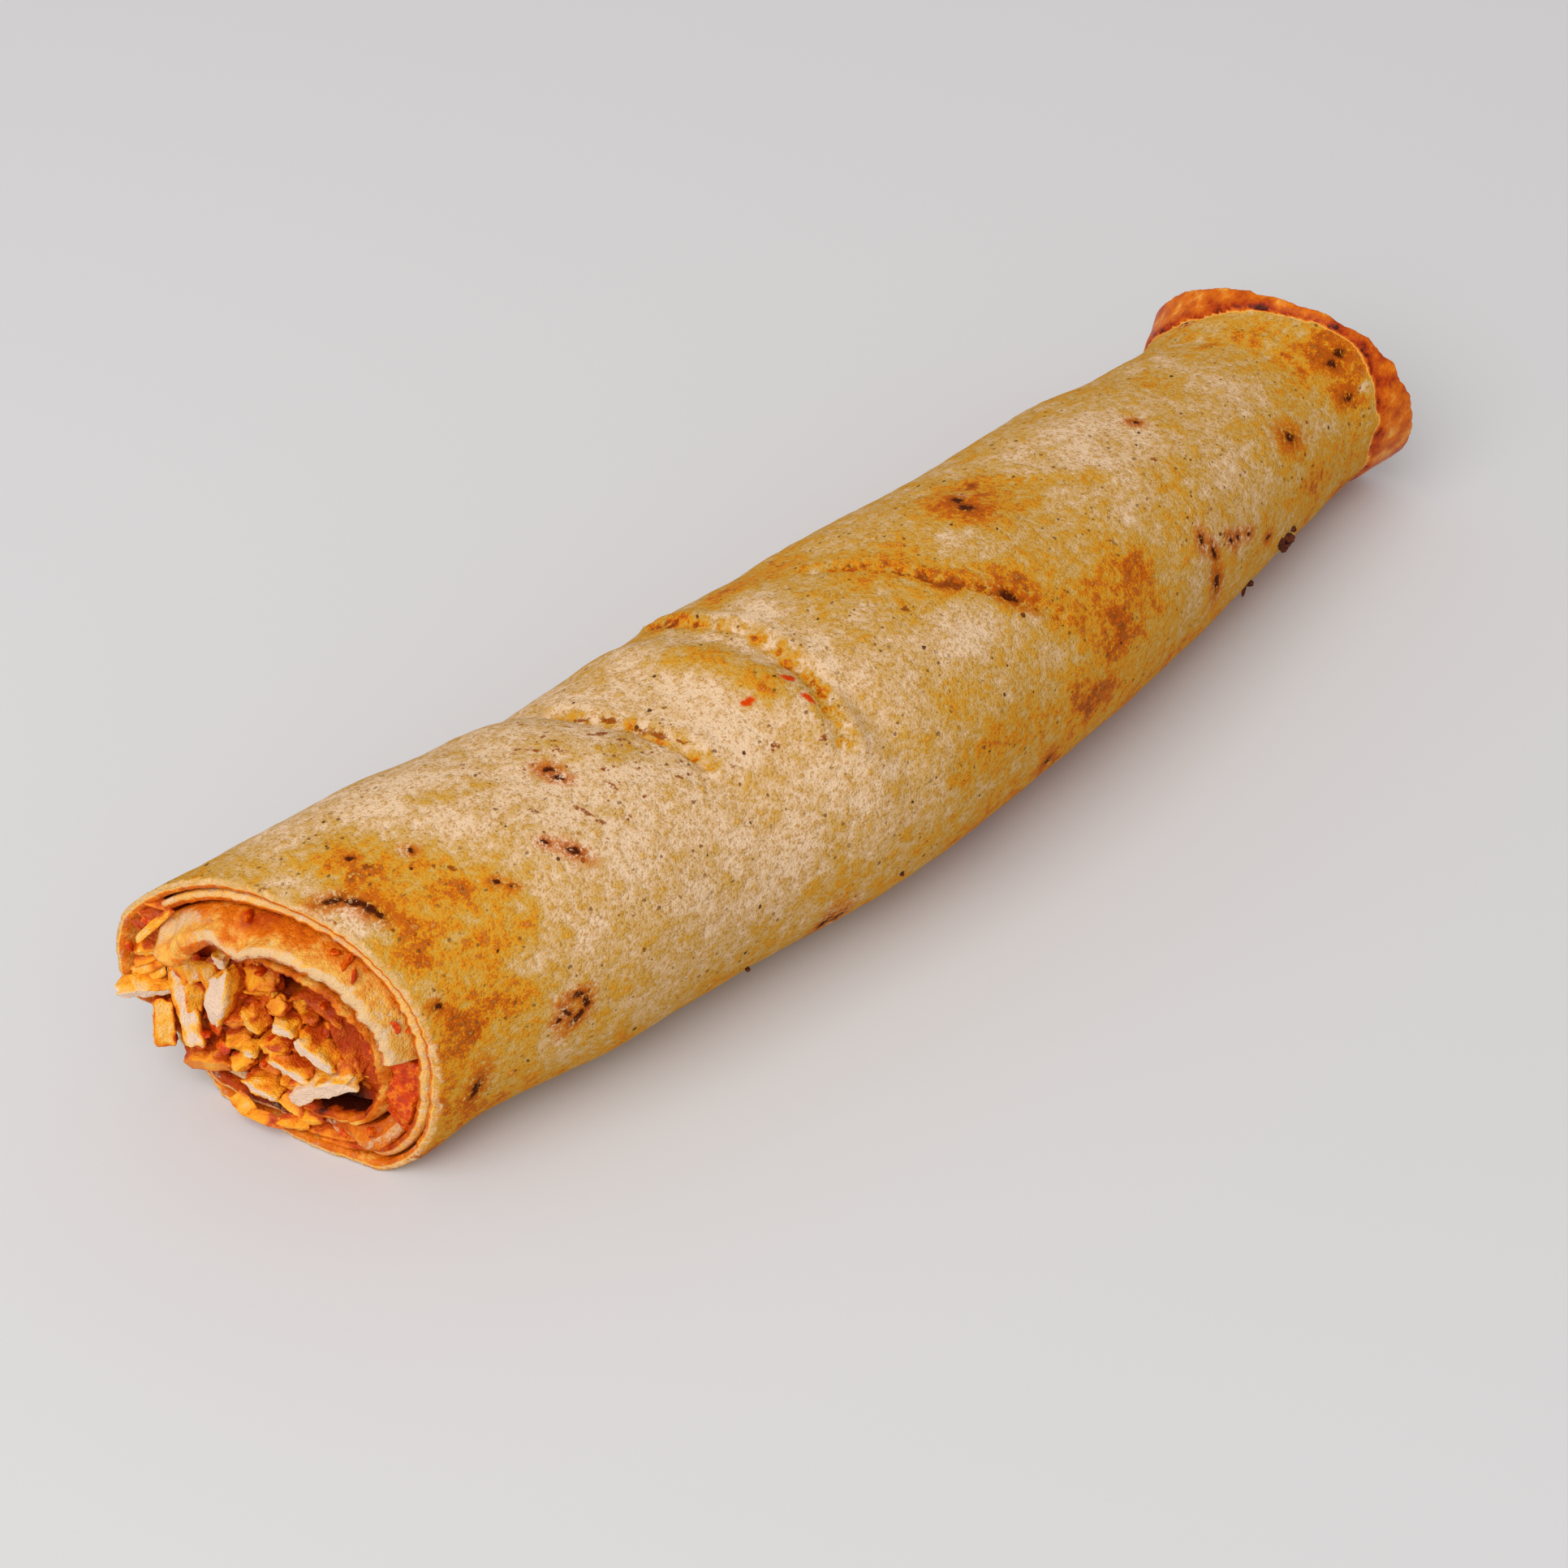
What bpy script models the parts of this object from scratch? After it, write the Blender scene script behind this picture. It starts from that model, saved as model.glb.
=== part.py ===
"""A rolled flatbread wrap, cut open at one end and filled with sliced meat.

The long axis is X. The cut end with the filling faces -X, the flared end faces +X,
and the wrap lies on the plane z = 0. The bread is modelled as it is made: a flat slab
of dough that is rolled up, so it runs from its free inner edge out to its seam.

Around a section, angle 0 faces -Y, 90 degrees is up and 180 degrees faces +Y.
Station 0 is the cut end and station 1 the flared end.
"""

import math
import random

import bmesh
import bpy
from mathutils import Matrix, Vector

MM = 0.001

# Driving sizes of the roll, in millimetres and degrees.
LENGTH = 256.0
FLATNESS = [(0.0, 0.87), (0.1, 0.86), (0.9, 0.86), (1.0, 0.79)]   # height over width
SQUARENESS = 2.2           # exponent of the superellipse that a section follows
SINK = 0.03                # share of the height pressed flat by the wrap's weight
HALF_WIDTHS = [(0.0, 28.2), (0.125, 30.7), (0.25, 29.8), (0.375, 31.2), (0.5, 30.4),
               (0.625, 28.7), (0.75, 26.8), (0.88, 23.8), (0.935, 23.0), (0.97, 24.4), (1.0, 26.9)]
BOW = [(0.0, 0.0), (0.125, 6.3), (0.25, 9.9), (0.375, 12.6), (0.5, 11.9),
       (0.625, 10.5), (0.75, 6.9), (0.875, 3.7), (1.0, -1.1)]
CUT_SLANT = (0.33, 0.16)   # the cut end's lean in x, for each mm of p and of height
FLARE_SLANT = (0.30, -0.20)

# Bulges and pinches of the roll: station, angle, reach along, reach round, height.
SWELLS = [(0.0, -50, 0.040, 32, 3.8), (0.0, 174, 0.028, 24, 2.4), (0.22, 100, 0.022, 42, 0.9),
          (0.256, 100, 0.011, 45, -1.1), (0.335, 85, 0.020, 55, 0.9), (0.367, 82, 0.011, 52, -1.2),
          (0.47, 120, 0.030, 30, -0.7), (0.57, 95, 0.035, 30, 0.7), (0.14, 200, 0.05, 40, 0.8),
          (0.66, 190, 0.06, 45, -0.8), (0.80, 150, 0.035, 40, 0.6)]

# The dough's path through the roll. Turns are counted inwards: 0 is the outer turn.
INNER_EDGE = -75.0
STEP_FROM = 207.0
STEP_TO = 248.0
TURNS = 4
COLUMN = 18.0
STATIONS = [0.0, 0.01, 0.03, 0.055, 0.09, 0.15, 0.20, 0.238, 0.257, 0.30, 0.345, 0.368,
            0.42, 0.48, 0.55, 0.62, 0.69, 0.76, 0.83, 0.89, 0.93, 0.96, 0.985, 1.0]
THICKNESS = [1.8, 1.8, 2.3, 1.5]

# How deep each turn's outer face lies under the roll's outer face, by angle.
INSETS = [
    [(0, 0.0)],
    [(0, 2.3)],
    [(6, 5.2), (45, 4.8), (90, 5.0), (135, 4.8), (180, 4.6), (270, 4.5), (300, 4.9), (337, 6.9)],
    [(0, 9.6), (45, 10.4), (90, 11.6), (135, 10.0), (180, 8.0), (250, 7.5), (290, 7.5), (335, 9.8)],
]
# How far each turn stands out of the cut end, by angle.
LEADS = [
    [(0, 0.0), (60, 0.5), (120, -0.3), (200, 0.4), (280, -0.3)],
    [(0, -0.2), (141, -0.3), (159, -2.8), (190, -2.8), (225, -1.5), (270, -0.4)],
    [(15, 3.0), (45, 4.4), (90, 6.0), (141, 6.0), (158, -2.8), (200, -3.0), (270, -1.5), (303, -0.6),
     (321, -5.0), (357, -5.0)],
    [(0, 1.5), (45, 2.5), (90, 2.5), (135, -2.0), (180, -4.0), (250, -3.0), (300, 0.0), (330, 1.0)],
]
# How far each turn stops short of the flared end, and how far the puffy fold curls in.
SETBACKS = [0.0, 1.2, 3.0, 4.2]
FOLD_CURL = [(60, 0.0), (97, 2.0), (112, 1.0), (150, 3.0), (185, 0.0)]
CURL_REACH = 0.035

# The filling: its clearance under the innermost turn and how far its core lies back.
CLEARANCE = 0.6
CORE_RECESS = (3.2, 5.0)

# Slices seen at the cut end: two ends as (p, q, out), width, thickness, and which way the
# broad face looks. p runs towards -Y, q up from the middle, out towards the viewer.
SLICES = [
    ((1.5, 2.6, 0.5), (12.6, -2.2, 0.5), 7.0, 2.3, (0.3, 1.0, 0.3)),
    ((0.5, -5.4, 0.5), (11.0, -5.6, 0.5), 6.0, 2.0, (0.1, 1.0, 0.3)),
    ((4.6, -13.4, 1.5), (15.2, -4.6, 1.5), 6.0, 2.4, (-0.6, 0.8, 0.3)),
    ((-5.2, -10.8, 0.5), (2.6, -13.6, 0.5), 6.0, 1.9, (0.3, 1.0, 0.3)),
    ((-8.2, 6.0, 1.0), (-10.4, -4.6, 1.4), 4.6, 2.6, (0.2, 0.2, 1.0)),
    ((-18.6, 3.0, 0.2), (-12.4, -10.2, 4.0), 2.9, 2.6, (0.7, 0.2, 0.7)),
    ((-17.2, -3.0, 0.6), (-18.4, -13.6, 4.2), 3.8, 2.8, (0.8, 0.0, 0.6)),
    ((-7.0, 3.6, -4.6), (-23.5, -5.0, 6.6), 3.2, 2.4, (0.2, 1.0, 0.3)),
    ((-13.6, 6.0, -3.6), (-9.0, 1.6, 1.8), 2.8, 2.2, (0.4, 0.8, 0.4)),
    ((-13.8, -13.2, 2.0), (-5.4, -9.6, 0.5), 5.0, 2.6, (-0.2, 0.9, 0.4)),
    ((-5.4, -14.3, 1.0), (3.6, -14.9, 1.0), 6.4, 1.8, (-0.1, 0.6, 0.8)),
    ((-1.6, 6.4, -1.0), (5.0, 6.6, -1.0), 6.0, 2.0, (0.2, 1.0, 0.2)),
    ((-26.4, 6.2, 0.3), (-18.0, 2.8, 0.7), 3.0, 1.6, (0.3, 1.0, 0.0)),
    ((-27.0, 1.4, 0.3), (-18.2, 0.2, 0.9), 3.0, 1.7, (0.1, 1.0, 0.0)),
    ((-26.6, -3.4, 0.6), (-18.0, -3.2, 1.0), 3.0, 1.6, (0.0, 1.0, 0.1)),
]
SLICE_BEND = 0.09          # most that a slice bows, as a share of its length
SLICE_TAPER = (0.05, 0.30)
SLICE_UNEVEN = 0.07
SLICE_EDGE = 0.22          # eased edge as a share of the thickness

# Loose bits packed between the slices of each end: how many, the middle and half sizes of
# the ellipse they fill, and how far they lie in front of the end's slanted plane.
NEAR_BITS = (16, (-1.4, -2.6), (13.0, 8.6), -3.8)
FAR_BITS = (12, (0.0, -2.0), (8.5, 5.5), -6.2)
GOLDEN_ANGLE = 137.5
BIT_HALF_LENGTH = (2.0, 3.4)
BIT_WIDTH = (2.4, 4.2)
BIT_THICKNESS = (1.4, 2.2)

# The tomato strip in the pocket between the second and third turn.
POCKET = (-33.0, -6.0)
POCKET_STATIONS = [-0.003, 0.005, 0.012, 0.017] + STATIONS[2:-2] + [0.975]
POCKET_COLUMNS = 4
POCKET_GAP = 0.6
POCKET_HEAD = 3            # stations in front of the torn third turn, where the strip is thick
POCKET_HEAD_INSET = 8.6
SEED = 7

# Colours as linear RGB, with roughness.
FINISHES = {
    "flatbread": ((0.72, 0.50, 0.25), 0.75),
    "meat_filling": ((0.70, 0.38, 0.15), 0.55),
    "tomato_strip": ((0.62, 0.12, 0.02), 0.35),
}


def ease(share):
    """A share kept between 0 and 1 and eased at both ends."""
    share = min(1.0, max(0.0, share))
    return share * share * (3.0 - 2.0 * share)


def along(table, place):
    """Value at PLACE of a smooth curve through the table's (place, value) points."""
    place = min(table[-1][0], max(table[0][0], place))
    last = len(table) - 2
    k = next((i for i in range(last) if place <= table[i + 1][0]), last)
    (x0, y0), (x1, y1) = table[k], table[k + 1]
    before = table[max(k - 1, 0)]
    after = table[min(k + 2, last + 1)]
    slope0 = (y1 - before[1]) / (x1 - before[0])
    slope1 = (after[1] - y0) / (after[0] - x0)
    span = x1 - x0
    t = (place - x0) / span
    return ((2 * t**3 - 3 * t**2 + 1) * y0 + (t**3 - 2 * t**2 + t) * span * slope0
            + (3 * t**2 - 2 * t**3) * y1 + (t**3 - t**2) * span * slope1)


def around(table, angle):
    """Value at ANGLE of a closed curve that eases between the table's (angle, value) points."""
    first = table[0][0]
    angle = (angle - first) % 360.0 + first
    closed = table + [(first + 360.0, table[0][1])]
    k = max(i for i in range(len(table)) if closed[i][0] <= angle)
    (a0, v0), (a1, v1) = closed[k], closed[k + 1]
    return v0 + (v1 - v0) * ease((angle - a0) / (a1 - a0))


def swell(station, angle):
    """Height of the bulges and pinches at a place on the roll."""
    total = 0.0
    for at, towards, reach, spread, height in SWELLS:
        turned = (angle - towards + 180.0) % 360.0 - 180.0
        total += height * math.exp(-((station - at) / reach) ** 2 - (turned / spread) ** 2)
    return total


def signed_power(value, power):
    return math.copysign(abs(value) ** power, value)


def roll_point(angle, station, inset):
    """Point INSET millimetres under the roll's outer face. Stations may pass 0 and 1."""
    inside = min(1.0, max(0.0, station))
    depth = inset - swell(inside, angle)
    half_width = along(HALF_WIDTHS, inside)
    half_height = half_width * along(FLATNESS, inside)
    turn = math.radians(angle)
    p = (half_width - depth) * signed_power(math.cos(turn), 2.0 / SQUARENESS)
    q = (half_height - depth) * signed_power(math.sin(turn), 2.0 / SQUARENESS)
    z = max(half_height * (1.0 - 2.0 * SINK) + q, inset)
    rise = z - half_height * (1.0 - SINK)
    start = -LENGTH / 2 + CUT_SLANT[0] * p + CUT_SLANT[1] * rise
    end = LENGTH / 2 + FLARE_SLANT[0] * p + FLARE_SLANT[1] * rise
    return Vector((start + (end - start) * station, -along(BOW, inside) - p, z))


def turn_depth(turned):
    """How many turns lie outside the dough at TURNED degrees from the roll's start."""
    steps = sum(ease((turned - STEP_FROM - 360.0 * k) / (STEP_TO - STEP_FROM))
                for k in range(TURNS - 1))
    return TURNS - 1 - steps


def between_turns(read, depth):
    """READ(turn) mixed between the two turns that DEPTH lies between."""
    outer = min(int(depth), TURNS - 1)
    inner = min(outer + 1, TURNS - 1)
    return read(outer) + (read(inner) - read(outer)) * (depth - outer)


def dough_point(turned, station, share):
    """Point of the rolled dough; SHARE is 0 on its outer face and 1 on its inner face."""
    depth = turn_depth(turned)
    lead = between_turns(lambda k: around(LEADS[k], turned), depth)
    setback = between_turns(lambda k: SETBACKS[k], depth)
    inset = between_turns(lambda k: around(INSETS[k], turned), depth)
    thick = between_turns(lambda k: THICKNESS[k], depth)
    third_turn = max(0.0, 1.0 - abs(depth - 2.0))
    curl = around(FOLD_CURL, turned) * third_turn * ease(1.0 - station / CURL_REACH)
    place = station * (1.0 - setback / LENGTH) - (1.0 - station) * lead / LENGTH
    return roll_point(turned, place, inset + curl + share * thick)


def finish_material(name):
    """Plain material of a sub-part."""
    colour, roughness = FINISHES[name]
    material = bpy.data.materials.new(name)
    material.use_nodes = True
    shader = material.node_tree.nodes["Principled BSDF"]
    shader.inputs["Base Color"].default_value = (*colour, 1.0)
    shader.inputs["Roughness"].default_value = roughness
    shader.inputs["Metallic"].default_value = 0.0
    return material


def new_object(name, shape):
    """Turns a bmesh in millimetres into a smooth-shaded object in metres."""
    bmesh.ops.scale(shape, vec=(MM, MM, MM), verts=shape.verts)
    bmesh.ops.recalc_face_normals(shape, faces=shape.faces)
    mesh = bpy.data.meshes.new(name)
    shape.to_mesh(mesh)
    shape.free()
    mesh.shade_smooth()
    mesh.set_sharp_from_angle(angle=math.radians(40))
    item = bpy.data.objects.new(name, mesh)
    bpy.context.scene.collection.objects.link(item)
    return item


def slab(columns, stations):
    """Flat slab of dough: a unit grid as top and bottom, bridged along its rim."""
    shape = bmesh.new()
    bmesh.ops.create_grid(shape, x_segments=columns, y_segments=stations, size=0.5)
    underside = bmesh.ops.duplicate(shape, geom=shape.verts[:] + shape.edges[:] + shape.faces[:])
    lower = [part for part in underside["geom"] if isinstance(part, bmesh.types.BMVert)]
    bmesh.ops.translate(shape, verts=lower, vec=(0, 0, -1))
    rim = [edge for edge in shape.edges if edge.is_boundary]
    bmesh.ops.bridge_loops(shape, edges=rim)
    return shape


def roll_up(shape, columns, stations, place):
    """Moves each vertex of a unit slab to PLACE(column, station index, share through)."""
    for vert in shape.verts:
        column = round((vert.co.x + 0.5) * columns)
        index = round((vert.co.y + 0.5) * stations)
        vert.co = place(column, index, -vert.co.z)


def make_flatbread():
    """The rolled bread, from its free inner edge to the seam at the lower back."""
    outer_end = STEP_FROM + 360.0 * (TURNS - 1)
    columns = round((outer_end - INNER_EDGE) / COLUMN)
    step = (outer_end - INNER_EDGE) / columns
    shape = slab(columns, len(STATIONS) - 1)
    roll_up(shape, columns, len(STATIONS) - 1,
            lambda c, s, share: dough_point(INNER_EDGE + c * step, STATIONS[s], share))
    return new_object("flatbread", shape)


def make_tomato_strip():
    """A soft strip along the pocket between the second and the third turn."""
    span = POCKET[1] - POCKET[0]
    roof = INSETS[1][0][1] + THICKNESS[1] + POCKET_GAP

    def place(column, index, share):
        angle = POCKET[0] + span * column / POCKET_COLUMNS
        floor = around(INSETS[2], angle) - POCKET_GAP
        if index < POCKET_HEAD:
            floor = POCKET_HEAD_INSET
        return roll_point(angle, POCKET_STATIONS[index], roof + (floor - roof) * share)

    last = len(POCKET_STATIONS) - 1
    shape = slab(POCKET_COLUMNS, last)
    roll_up(shape, POCKET_COLUMNS, last, place)
    return new_object("tomato_strip", shape)


def core_inset(angle):
    """Depth of the filling's core, just clear of the innermost turn."""
    return around(INSETS[-1], angle) + THICKNESS[-1] + CLEARANCE


def make_core():
    """The packed filling through the length of the roll."""
    sides = round(360.0 / COLUMN)
    shape = bmesh.new()
    rings = []
    for station in STATIONS:
        place = station * (1.0 - CORE_RECESS[1] / LENGTH) + (1.0 - station) * CORE_RECESS[0] / LENGTH
        angles = [INNER_EDGE + COLUMN * k for k in range(sides)]
        rings.append([shape.verts.new(roll_point(a, place, core_inset(a))) for a in angles])
    for near, far in zip(rings, rings[1:]):
        for k in range(sides):
            j = (k + 1) % sides
            shape.faces.new((near[k], near[j], far[j], far[k]))
    shape.faces.new(rings[0])
    shape.faces.new(rings[-1])
    return new_object("meat_core", shape)


def near_point(p, q, out):
    """Point at the cut end, OUT millimetres in front of its slanted plane."""
    half_height = along(HALF_WIDTHS, 0) * along(FLATNESS, 0)
    rise = q - half_height * SINK
    middle = half_height * (1.0 - 2.0 * SINK)
    return Vector((-LENGTH / 2 + CUT_SLANT[0] * p + CUT_SLANT[1] * rise - out, -p, middle + q))


def far_point(p, q, out):
    """Point at the flared end, OUT millimetres in front of its slanted plane."""
    half_height = along(HALF_WIDTHS, 1) * along(FLATNESS, 1)
    rise = q - half_height * SINK
    middle = half_height * (1.0 - 2.0 * SINK)
    return Vector((LENGTH / 2 + FLARE_SLANT[0] * p + FLARE_SLANT[1] * rise + out, -p, middle + q))


def make_slice(name, start, end, width, thick, looks, chance):
    """One slice of meat: a cut plank, slightly bent and tapered, with eased long edges."""
    shape = bmesh.new()
    bmesh.ops.create_cube(shape, size=1.0)
    lengthwise = [e for e in shape.edges if abs(e.verts[0].co.x - e.verts[1].co.x) > 0.5]
    bmesh.ops.subdivide_edges(shape, edges=lengthwise, cuts=2, use_grid_fill=True)
    length = (end - start).length
    bend = chance.uniform(-SLICE_BEND, SLICE_BEND) * length
    taper = chance.uniform(*SLICE_TAPER)
    for vert in shape.verts:
        t = vert.co.x
        slim = 1.0 - taper * (t + 0.5) + chance.uniform(-SLICE_UNEVEN, SLICE_UNEVEN)
        lift = bend * (1.0 - 4.0 * t * t)
        vert.co = Vector((t * length, vert.co.y * width * slim, vert.co.z * thick * slim + lift))
    long_edges = [e for e in shape.edges if abs(e.verts[0].co.x - e.verts[1].co.x) > length / 6]
    bmesh.ops.bevel(shape, geom=long_edges, offset=SLICE_EDGE * thick, segments=1, affect="EDGES")
    forward = (end - start).normalized()
    side = looks.cross(forward).normalized()
    turn = Matrix((forward, side, forward.cross(side))).transposed()
    for vert in shape.verts:
        vert.co = turn @ vert.co + (start + end) / 2
    return new_object(name, shape)


def make_bits(place, count, middle, spread, reach, chance):
    """Short bits on a sunflower pattern over an ellipse, each turned its own way."""
    bits = []
    for k in range(count):
        radius = math.sqrt((k + 0.5) / count)
        turn = math.radians(GOLDEN_ANGLE * k)
        p = middle[0] + spread[0] * radius * math.cos(turn)
        q = middle[1] + spread[1] * radius * math.sin(turn)
        heading = chance.uniform(0, math.pi)
        half = chance.uniform(*BIT_HALF_LENGTH)
        dp, dq = half * math.cos(heading), half * math.sin(heading)
        tip = chance.uniform(-1.0, 1.0)
        start = place(p - dp, q - dq, reach + tip)
        end = place(p + dp, q + dq, reach - tip)
        looks = Vector((-0.4, chance.uniform(-0.5, 0.5), 1.0))
        width = chance.uniform(*BIT_WIDTH)
        thick = chance.uniform(*BIT_THICKNESS)
        bits.append(make_slice("bit", start, end, width, thick, looks, chance))
    return bits


def join_pieces(core, pieces):
    """Fuses the pieces onto the core with one union, and removes what it used."""
    group = bpy.data.collections.new("pieces")
    for piece in pieces:
        group.objects.link(piece)
    union = core.modifiers.new("union", "BOOLEAN")
    union.operation = "UNION"
    union.solver = "MANIFOLD"
    union.operand_type = "COLLECTION"
    union.collection = group
    bpy.context.view_layer.update()
    fused = bpy.data.meshes.new_from_object(core.evaluated_get(bpy.context.evaluated_depsgraph_get()))
    core.modifiers.clear()
    core.data = fused
    for piece in pieces:
        bpy.data.objects.remove(piece)
    bpy.data.collections.remove(group)


def make_meat_filling():
    """The filling: its core, the slices at the cut end and the bits at both ends."""
    chance = random.Random(SEED)
    core = make_core()
    pieces = []
    for start, end, width, thick, looks in SLICES:
        p, q, out = looks
        facing = Vector((-out, -p, q))
        pieces.append(make_slice("slice", near_point(*start), near_point(*end), width, thick,
                                 facing, chance))
    pieces += make_bits(near_point, *NEAR_BITS, chance)
    pieces += make_bits(far_point, *FAR_BITS, chance)
    join_pieces(core, pieces)
    core.name = "meat_filling"
    return core


def centre_on_origin(items):
    """Moves the items so that the whole stands on z = 0, centred in x and y."""
    corners = [vert.co for item in items for vert in item.data.vertices]
    low = Vector(min(c[k] for c in corners) for k in range(3))
    high = Vector(max(c[k] for c in corners) for k in range(3))
    shift = Vector((-(low.x + high.x) / 2, -(low.y + high.y) / 2, -low.z))
    for item in items:
        item.data.transform(Matrix.Translation(shift))


def main():
    for item in list(bpy.data.objects):
        bpy.data.objects.remove(item)
    items = [make_flatbread(), make_meat_filling(), make_tomato_strip()]
    centre_on_origin(items)
    for item in items:
        item.data.materials.clear()
        item.data.materials.append(finish_material(item.name))


main()
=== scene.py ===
"""Finish, filling and stage for a rolled flatbread wrap, laid out as a Blender add-on.

The long axis is X: the cut end with the filling faces -X, the flared end +X, and the wrap
lies on z = 0. The bread is one sheet rolled up. Around a section, angle 0 faces -Y, 90
degrees is up and 180 degrees faces +Y. Station 0 is the cut end, station 1 the flared end.
Turns of the sheet are counted inwards, and the outer turn is turn 0.
"""
import math
import random

import bpy
import numpy as np
from mathutils import Matrix, Vector, noise


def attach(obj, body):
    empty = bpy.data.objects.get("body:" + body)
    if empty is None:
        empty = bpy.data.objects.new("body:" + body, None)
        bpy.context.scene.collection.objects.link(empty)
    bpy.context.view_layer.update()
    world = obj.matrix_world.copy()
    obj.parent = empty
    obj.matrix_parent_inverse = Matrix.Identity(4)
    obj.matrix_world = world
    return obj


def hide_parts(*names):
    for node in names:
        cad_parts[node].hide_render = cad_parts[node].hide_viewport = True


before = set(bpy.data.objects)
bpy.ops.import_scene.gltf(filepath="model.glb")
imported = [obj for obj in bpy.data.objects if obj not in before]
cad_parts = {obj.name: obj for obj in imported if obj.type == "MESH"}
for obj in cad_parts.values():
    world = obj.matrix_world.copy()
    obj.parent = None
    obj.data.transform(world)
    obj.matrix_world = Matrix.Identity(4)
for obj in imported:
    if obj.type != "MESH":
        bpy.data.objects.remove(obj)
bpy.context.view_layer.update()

bl_info = {
    "name": "Rolled flatbread wrap",
    "version": (1, 0, 0),
    "blender": (4, 5, 0),
    "location": "3D View > Sidebar > Wrap",
    "description": "Rolls the bread, packs the filling and lights a filled flatbread wrap",
    "category": "Object",
}

MM = 0.001

# ---------------------------------------------------------------- the roll's form, in mm and degrees
LENGTH = 256.0
SQUARENESS = 2.2                       # of a section: 2 is an ellipse, and more is squarer
SINK = 0.03                            # how far its own weight presses the roll flat, as a share
# By station: height over width, half width, and how far the roll bows to the side.
FLATNESS = [(0.0, 0.87), (0.1, 0.86), (0.9, 0.86), (1.0, 0.79)]
HALF_WIDTHS = [(0.0, 28.2), (0.125, 30.7), (0.25, 29.8), (0.375, 31.2), (0.5, 30.4),
               (0.625, 28.7), (0.75, 26.8), (0.88, 23.8), (0.935, 23.0), (0.97, 24.4), (1.0, 26.9)]
BOW = [(0.0, 0.0), (0.125, 6.3), (0.25, 9.9), (0.375, 12.6), (0.5, 11.9),
       (0.625, 10.5), (0.75, 6.9), (0.875, 3.7), (1.0, -1.1)]
# How far the ends lean along X, for each millimetre across and for each one up.
CUT_SLANT = (0.33, 0.16)
FLARE_SLANT = (0.30, -0.20)
# Bulges and pinches: station, angle, reach along the roll, spread round it, height.
SWELLS = [(0.0, -50, 0.040, 32, 3.8), (0.0, 174, 0.028, 24, 2.4), (0.22, 100, 0.022, 42, 0.9),
          (0.256, 100, 0.011, 45, -1.1), (0.335, 85, 0.020, 55, 0.9), (0.367, 82, 0.011, 52, -1.2),
          (0.47, 120, 0.030, 30, -0.7), (0.57, 95, 0.035, 30, 0.7), (0.14, 200, 0.05, 40, 0.8),
          (0.66, 190, 0.06, 45, -0.8), (0.80, 150, 0.035, 40, 0.6)]
SHIFT = np.array([3.46, 6.61, 0.0])    # centres the wrap's box on the origin

# The sheet starts at its inner edge and steps out by one turn between these two angles.
INNER_EDGE = -75.0
STEP_FROM = 207.0
STEP_TO = 248.0
TURNS = 4
OUTER_END = STEP_FROM + 360.0 * (TURNS - 1)
SPLIT = 915.0                          # where the outer turn's mesh begins, under the seam
# For each turn: how thick it is, and how deep it lies under the roll's outer face, by angle.
THICKNESS = [1.8, 1.8, 2.3, 1.5]
INSETS = [
    [(0, 0.0)],
    [(0, 2.3)],
    [(6, 5.2), (45, 4.8), (90, 5.0), (135, 4.8), (180, 4.6), (270, 4.5), (300, 4.9), (337, 6.9)],
    [(0, 9.6), (45, 10.4), (90, 11.6), (135, 10.0), (180, 8.0), (250, 7.5), (290, 7.5), (335, 9.8)],
]
# For each turn: how far its rim stands out of the cut end, by angle, and how far it stays back
# in the flared end.
LEADS = [
    [(0, 0.0), (60, 0.5), (120, -0.3), (192, 0.2), (210, -3.6), (228, -3.2), (262, 0.2),
     (285, 1.5), (300, 1.0), (318, -0.4)],
    [(0, -0.2), (141, -0.3), (159, -2.8), (190, -2.8), (225, -1.5), (270, -0.4)],
    [(6, 3.2), (45, 4.4), (90, 6.0), (150, 5.6), (164, -2.8), (200, -3.0), (270, -1.5), (297, 0.2),
     (307, 0.8), (327, -5.0), (361, -5.0)],
    [(0, 1.0), (45, 2.8), (90, 2.5), (135, -2.0), (180, -4.0), (250, -2.4), (285, 1.4), (306, 1.6),
     (330, -0.6)],
]
SETBACKS = [0.0, 1.2, 3.0, 4.2]
# How far the third turn's rim curls inwards, by angle, and how far along the roll that reaches.
FOLD_CURL = [(60, 0.0), (86, 0.5), (98, 3.6), (109, 1.2), (124, 2.4), (145, 4.4), (163, 3.4),
             (185, 0.0)]
CURL_REACH = 0.028
# Thick, puffed places at the third turn's rim: angle, spread, reach, height, share outwards.
PUFFS = [(138, 22, 0.020, 1.9, 0.3), (306, 15, 0.020, 2.2, 0.9)]
PUFF_ROUNDNESS = 0.09

# How each turn's rim is finished: raggedness in mm and roundness as a share of its thickness.
RAGGED = [0.36, 0.46, 0.75, 0.6]
ROUNDNESS = [0.36, 0.40, 0.40, 0.46]
LIP_RAGGED = 0.9
LIP_SETBACK = 0.5
# Rows of faces near the cut end, between and near the flare, the share of the length that each
# end zone takes, and the power by which its rows crowd towards the rim.
CRUST_ROWS = (22, 152, 22, 0.045, 1.6)
INNER_ROWS = (34, 12, 22, 0.10, 1.5)
SMOOTH_ANGLE = math.radians(60)

# Bumps all over the bread: their size, height and seed, and the share that inner faces show.
BUMPS = [(17.0, 0.30, 5), (6.0, 0.16, 6), (2.4, 0.10, 7)]
HIDDEN_BUMPS = 0.35
FLOOR_FADE = 4.0                       # below this height the bumps fade out, so that it lies flat
LIP_RISE = 0.40                        # of the oily lip over the crust
LIP_GROOVE = 0.26                      # along the lip's border

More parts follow.
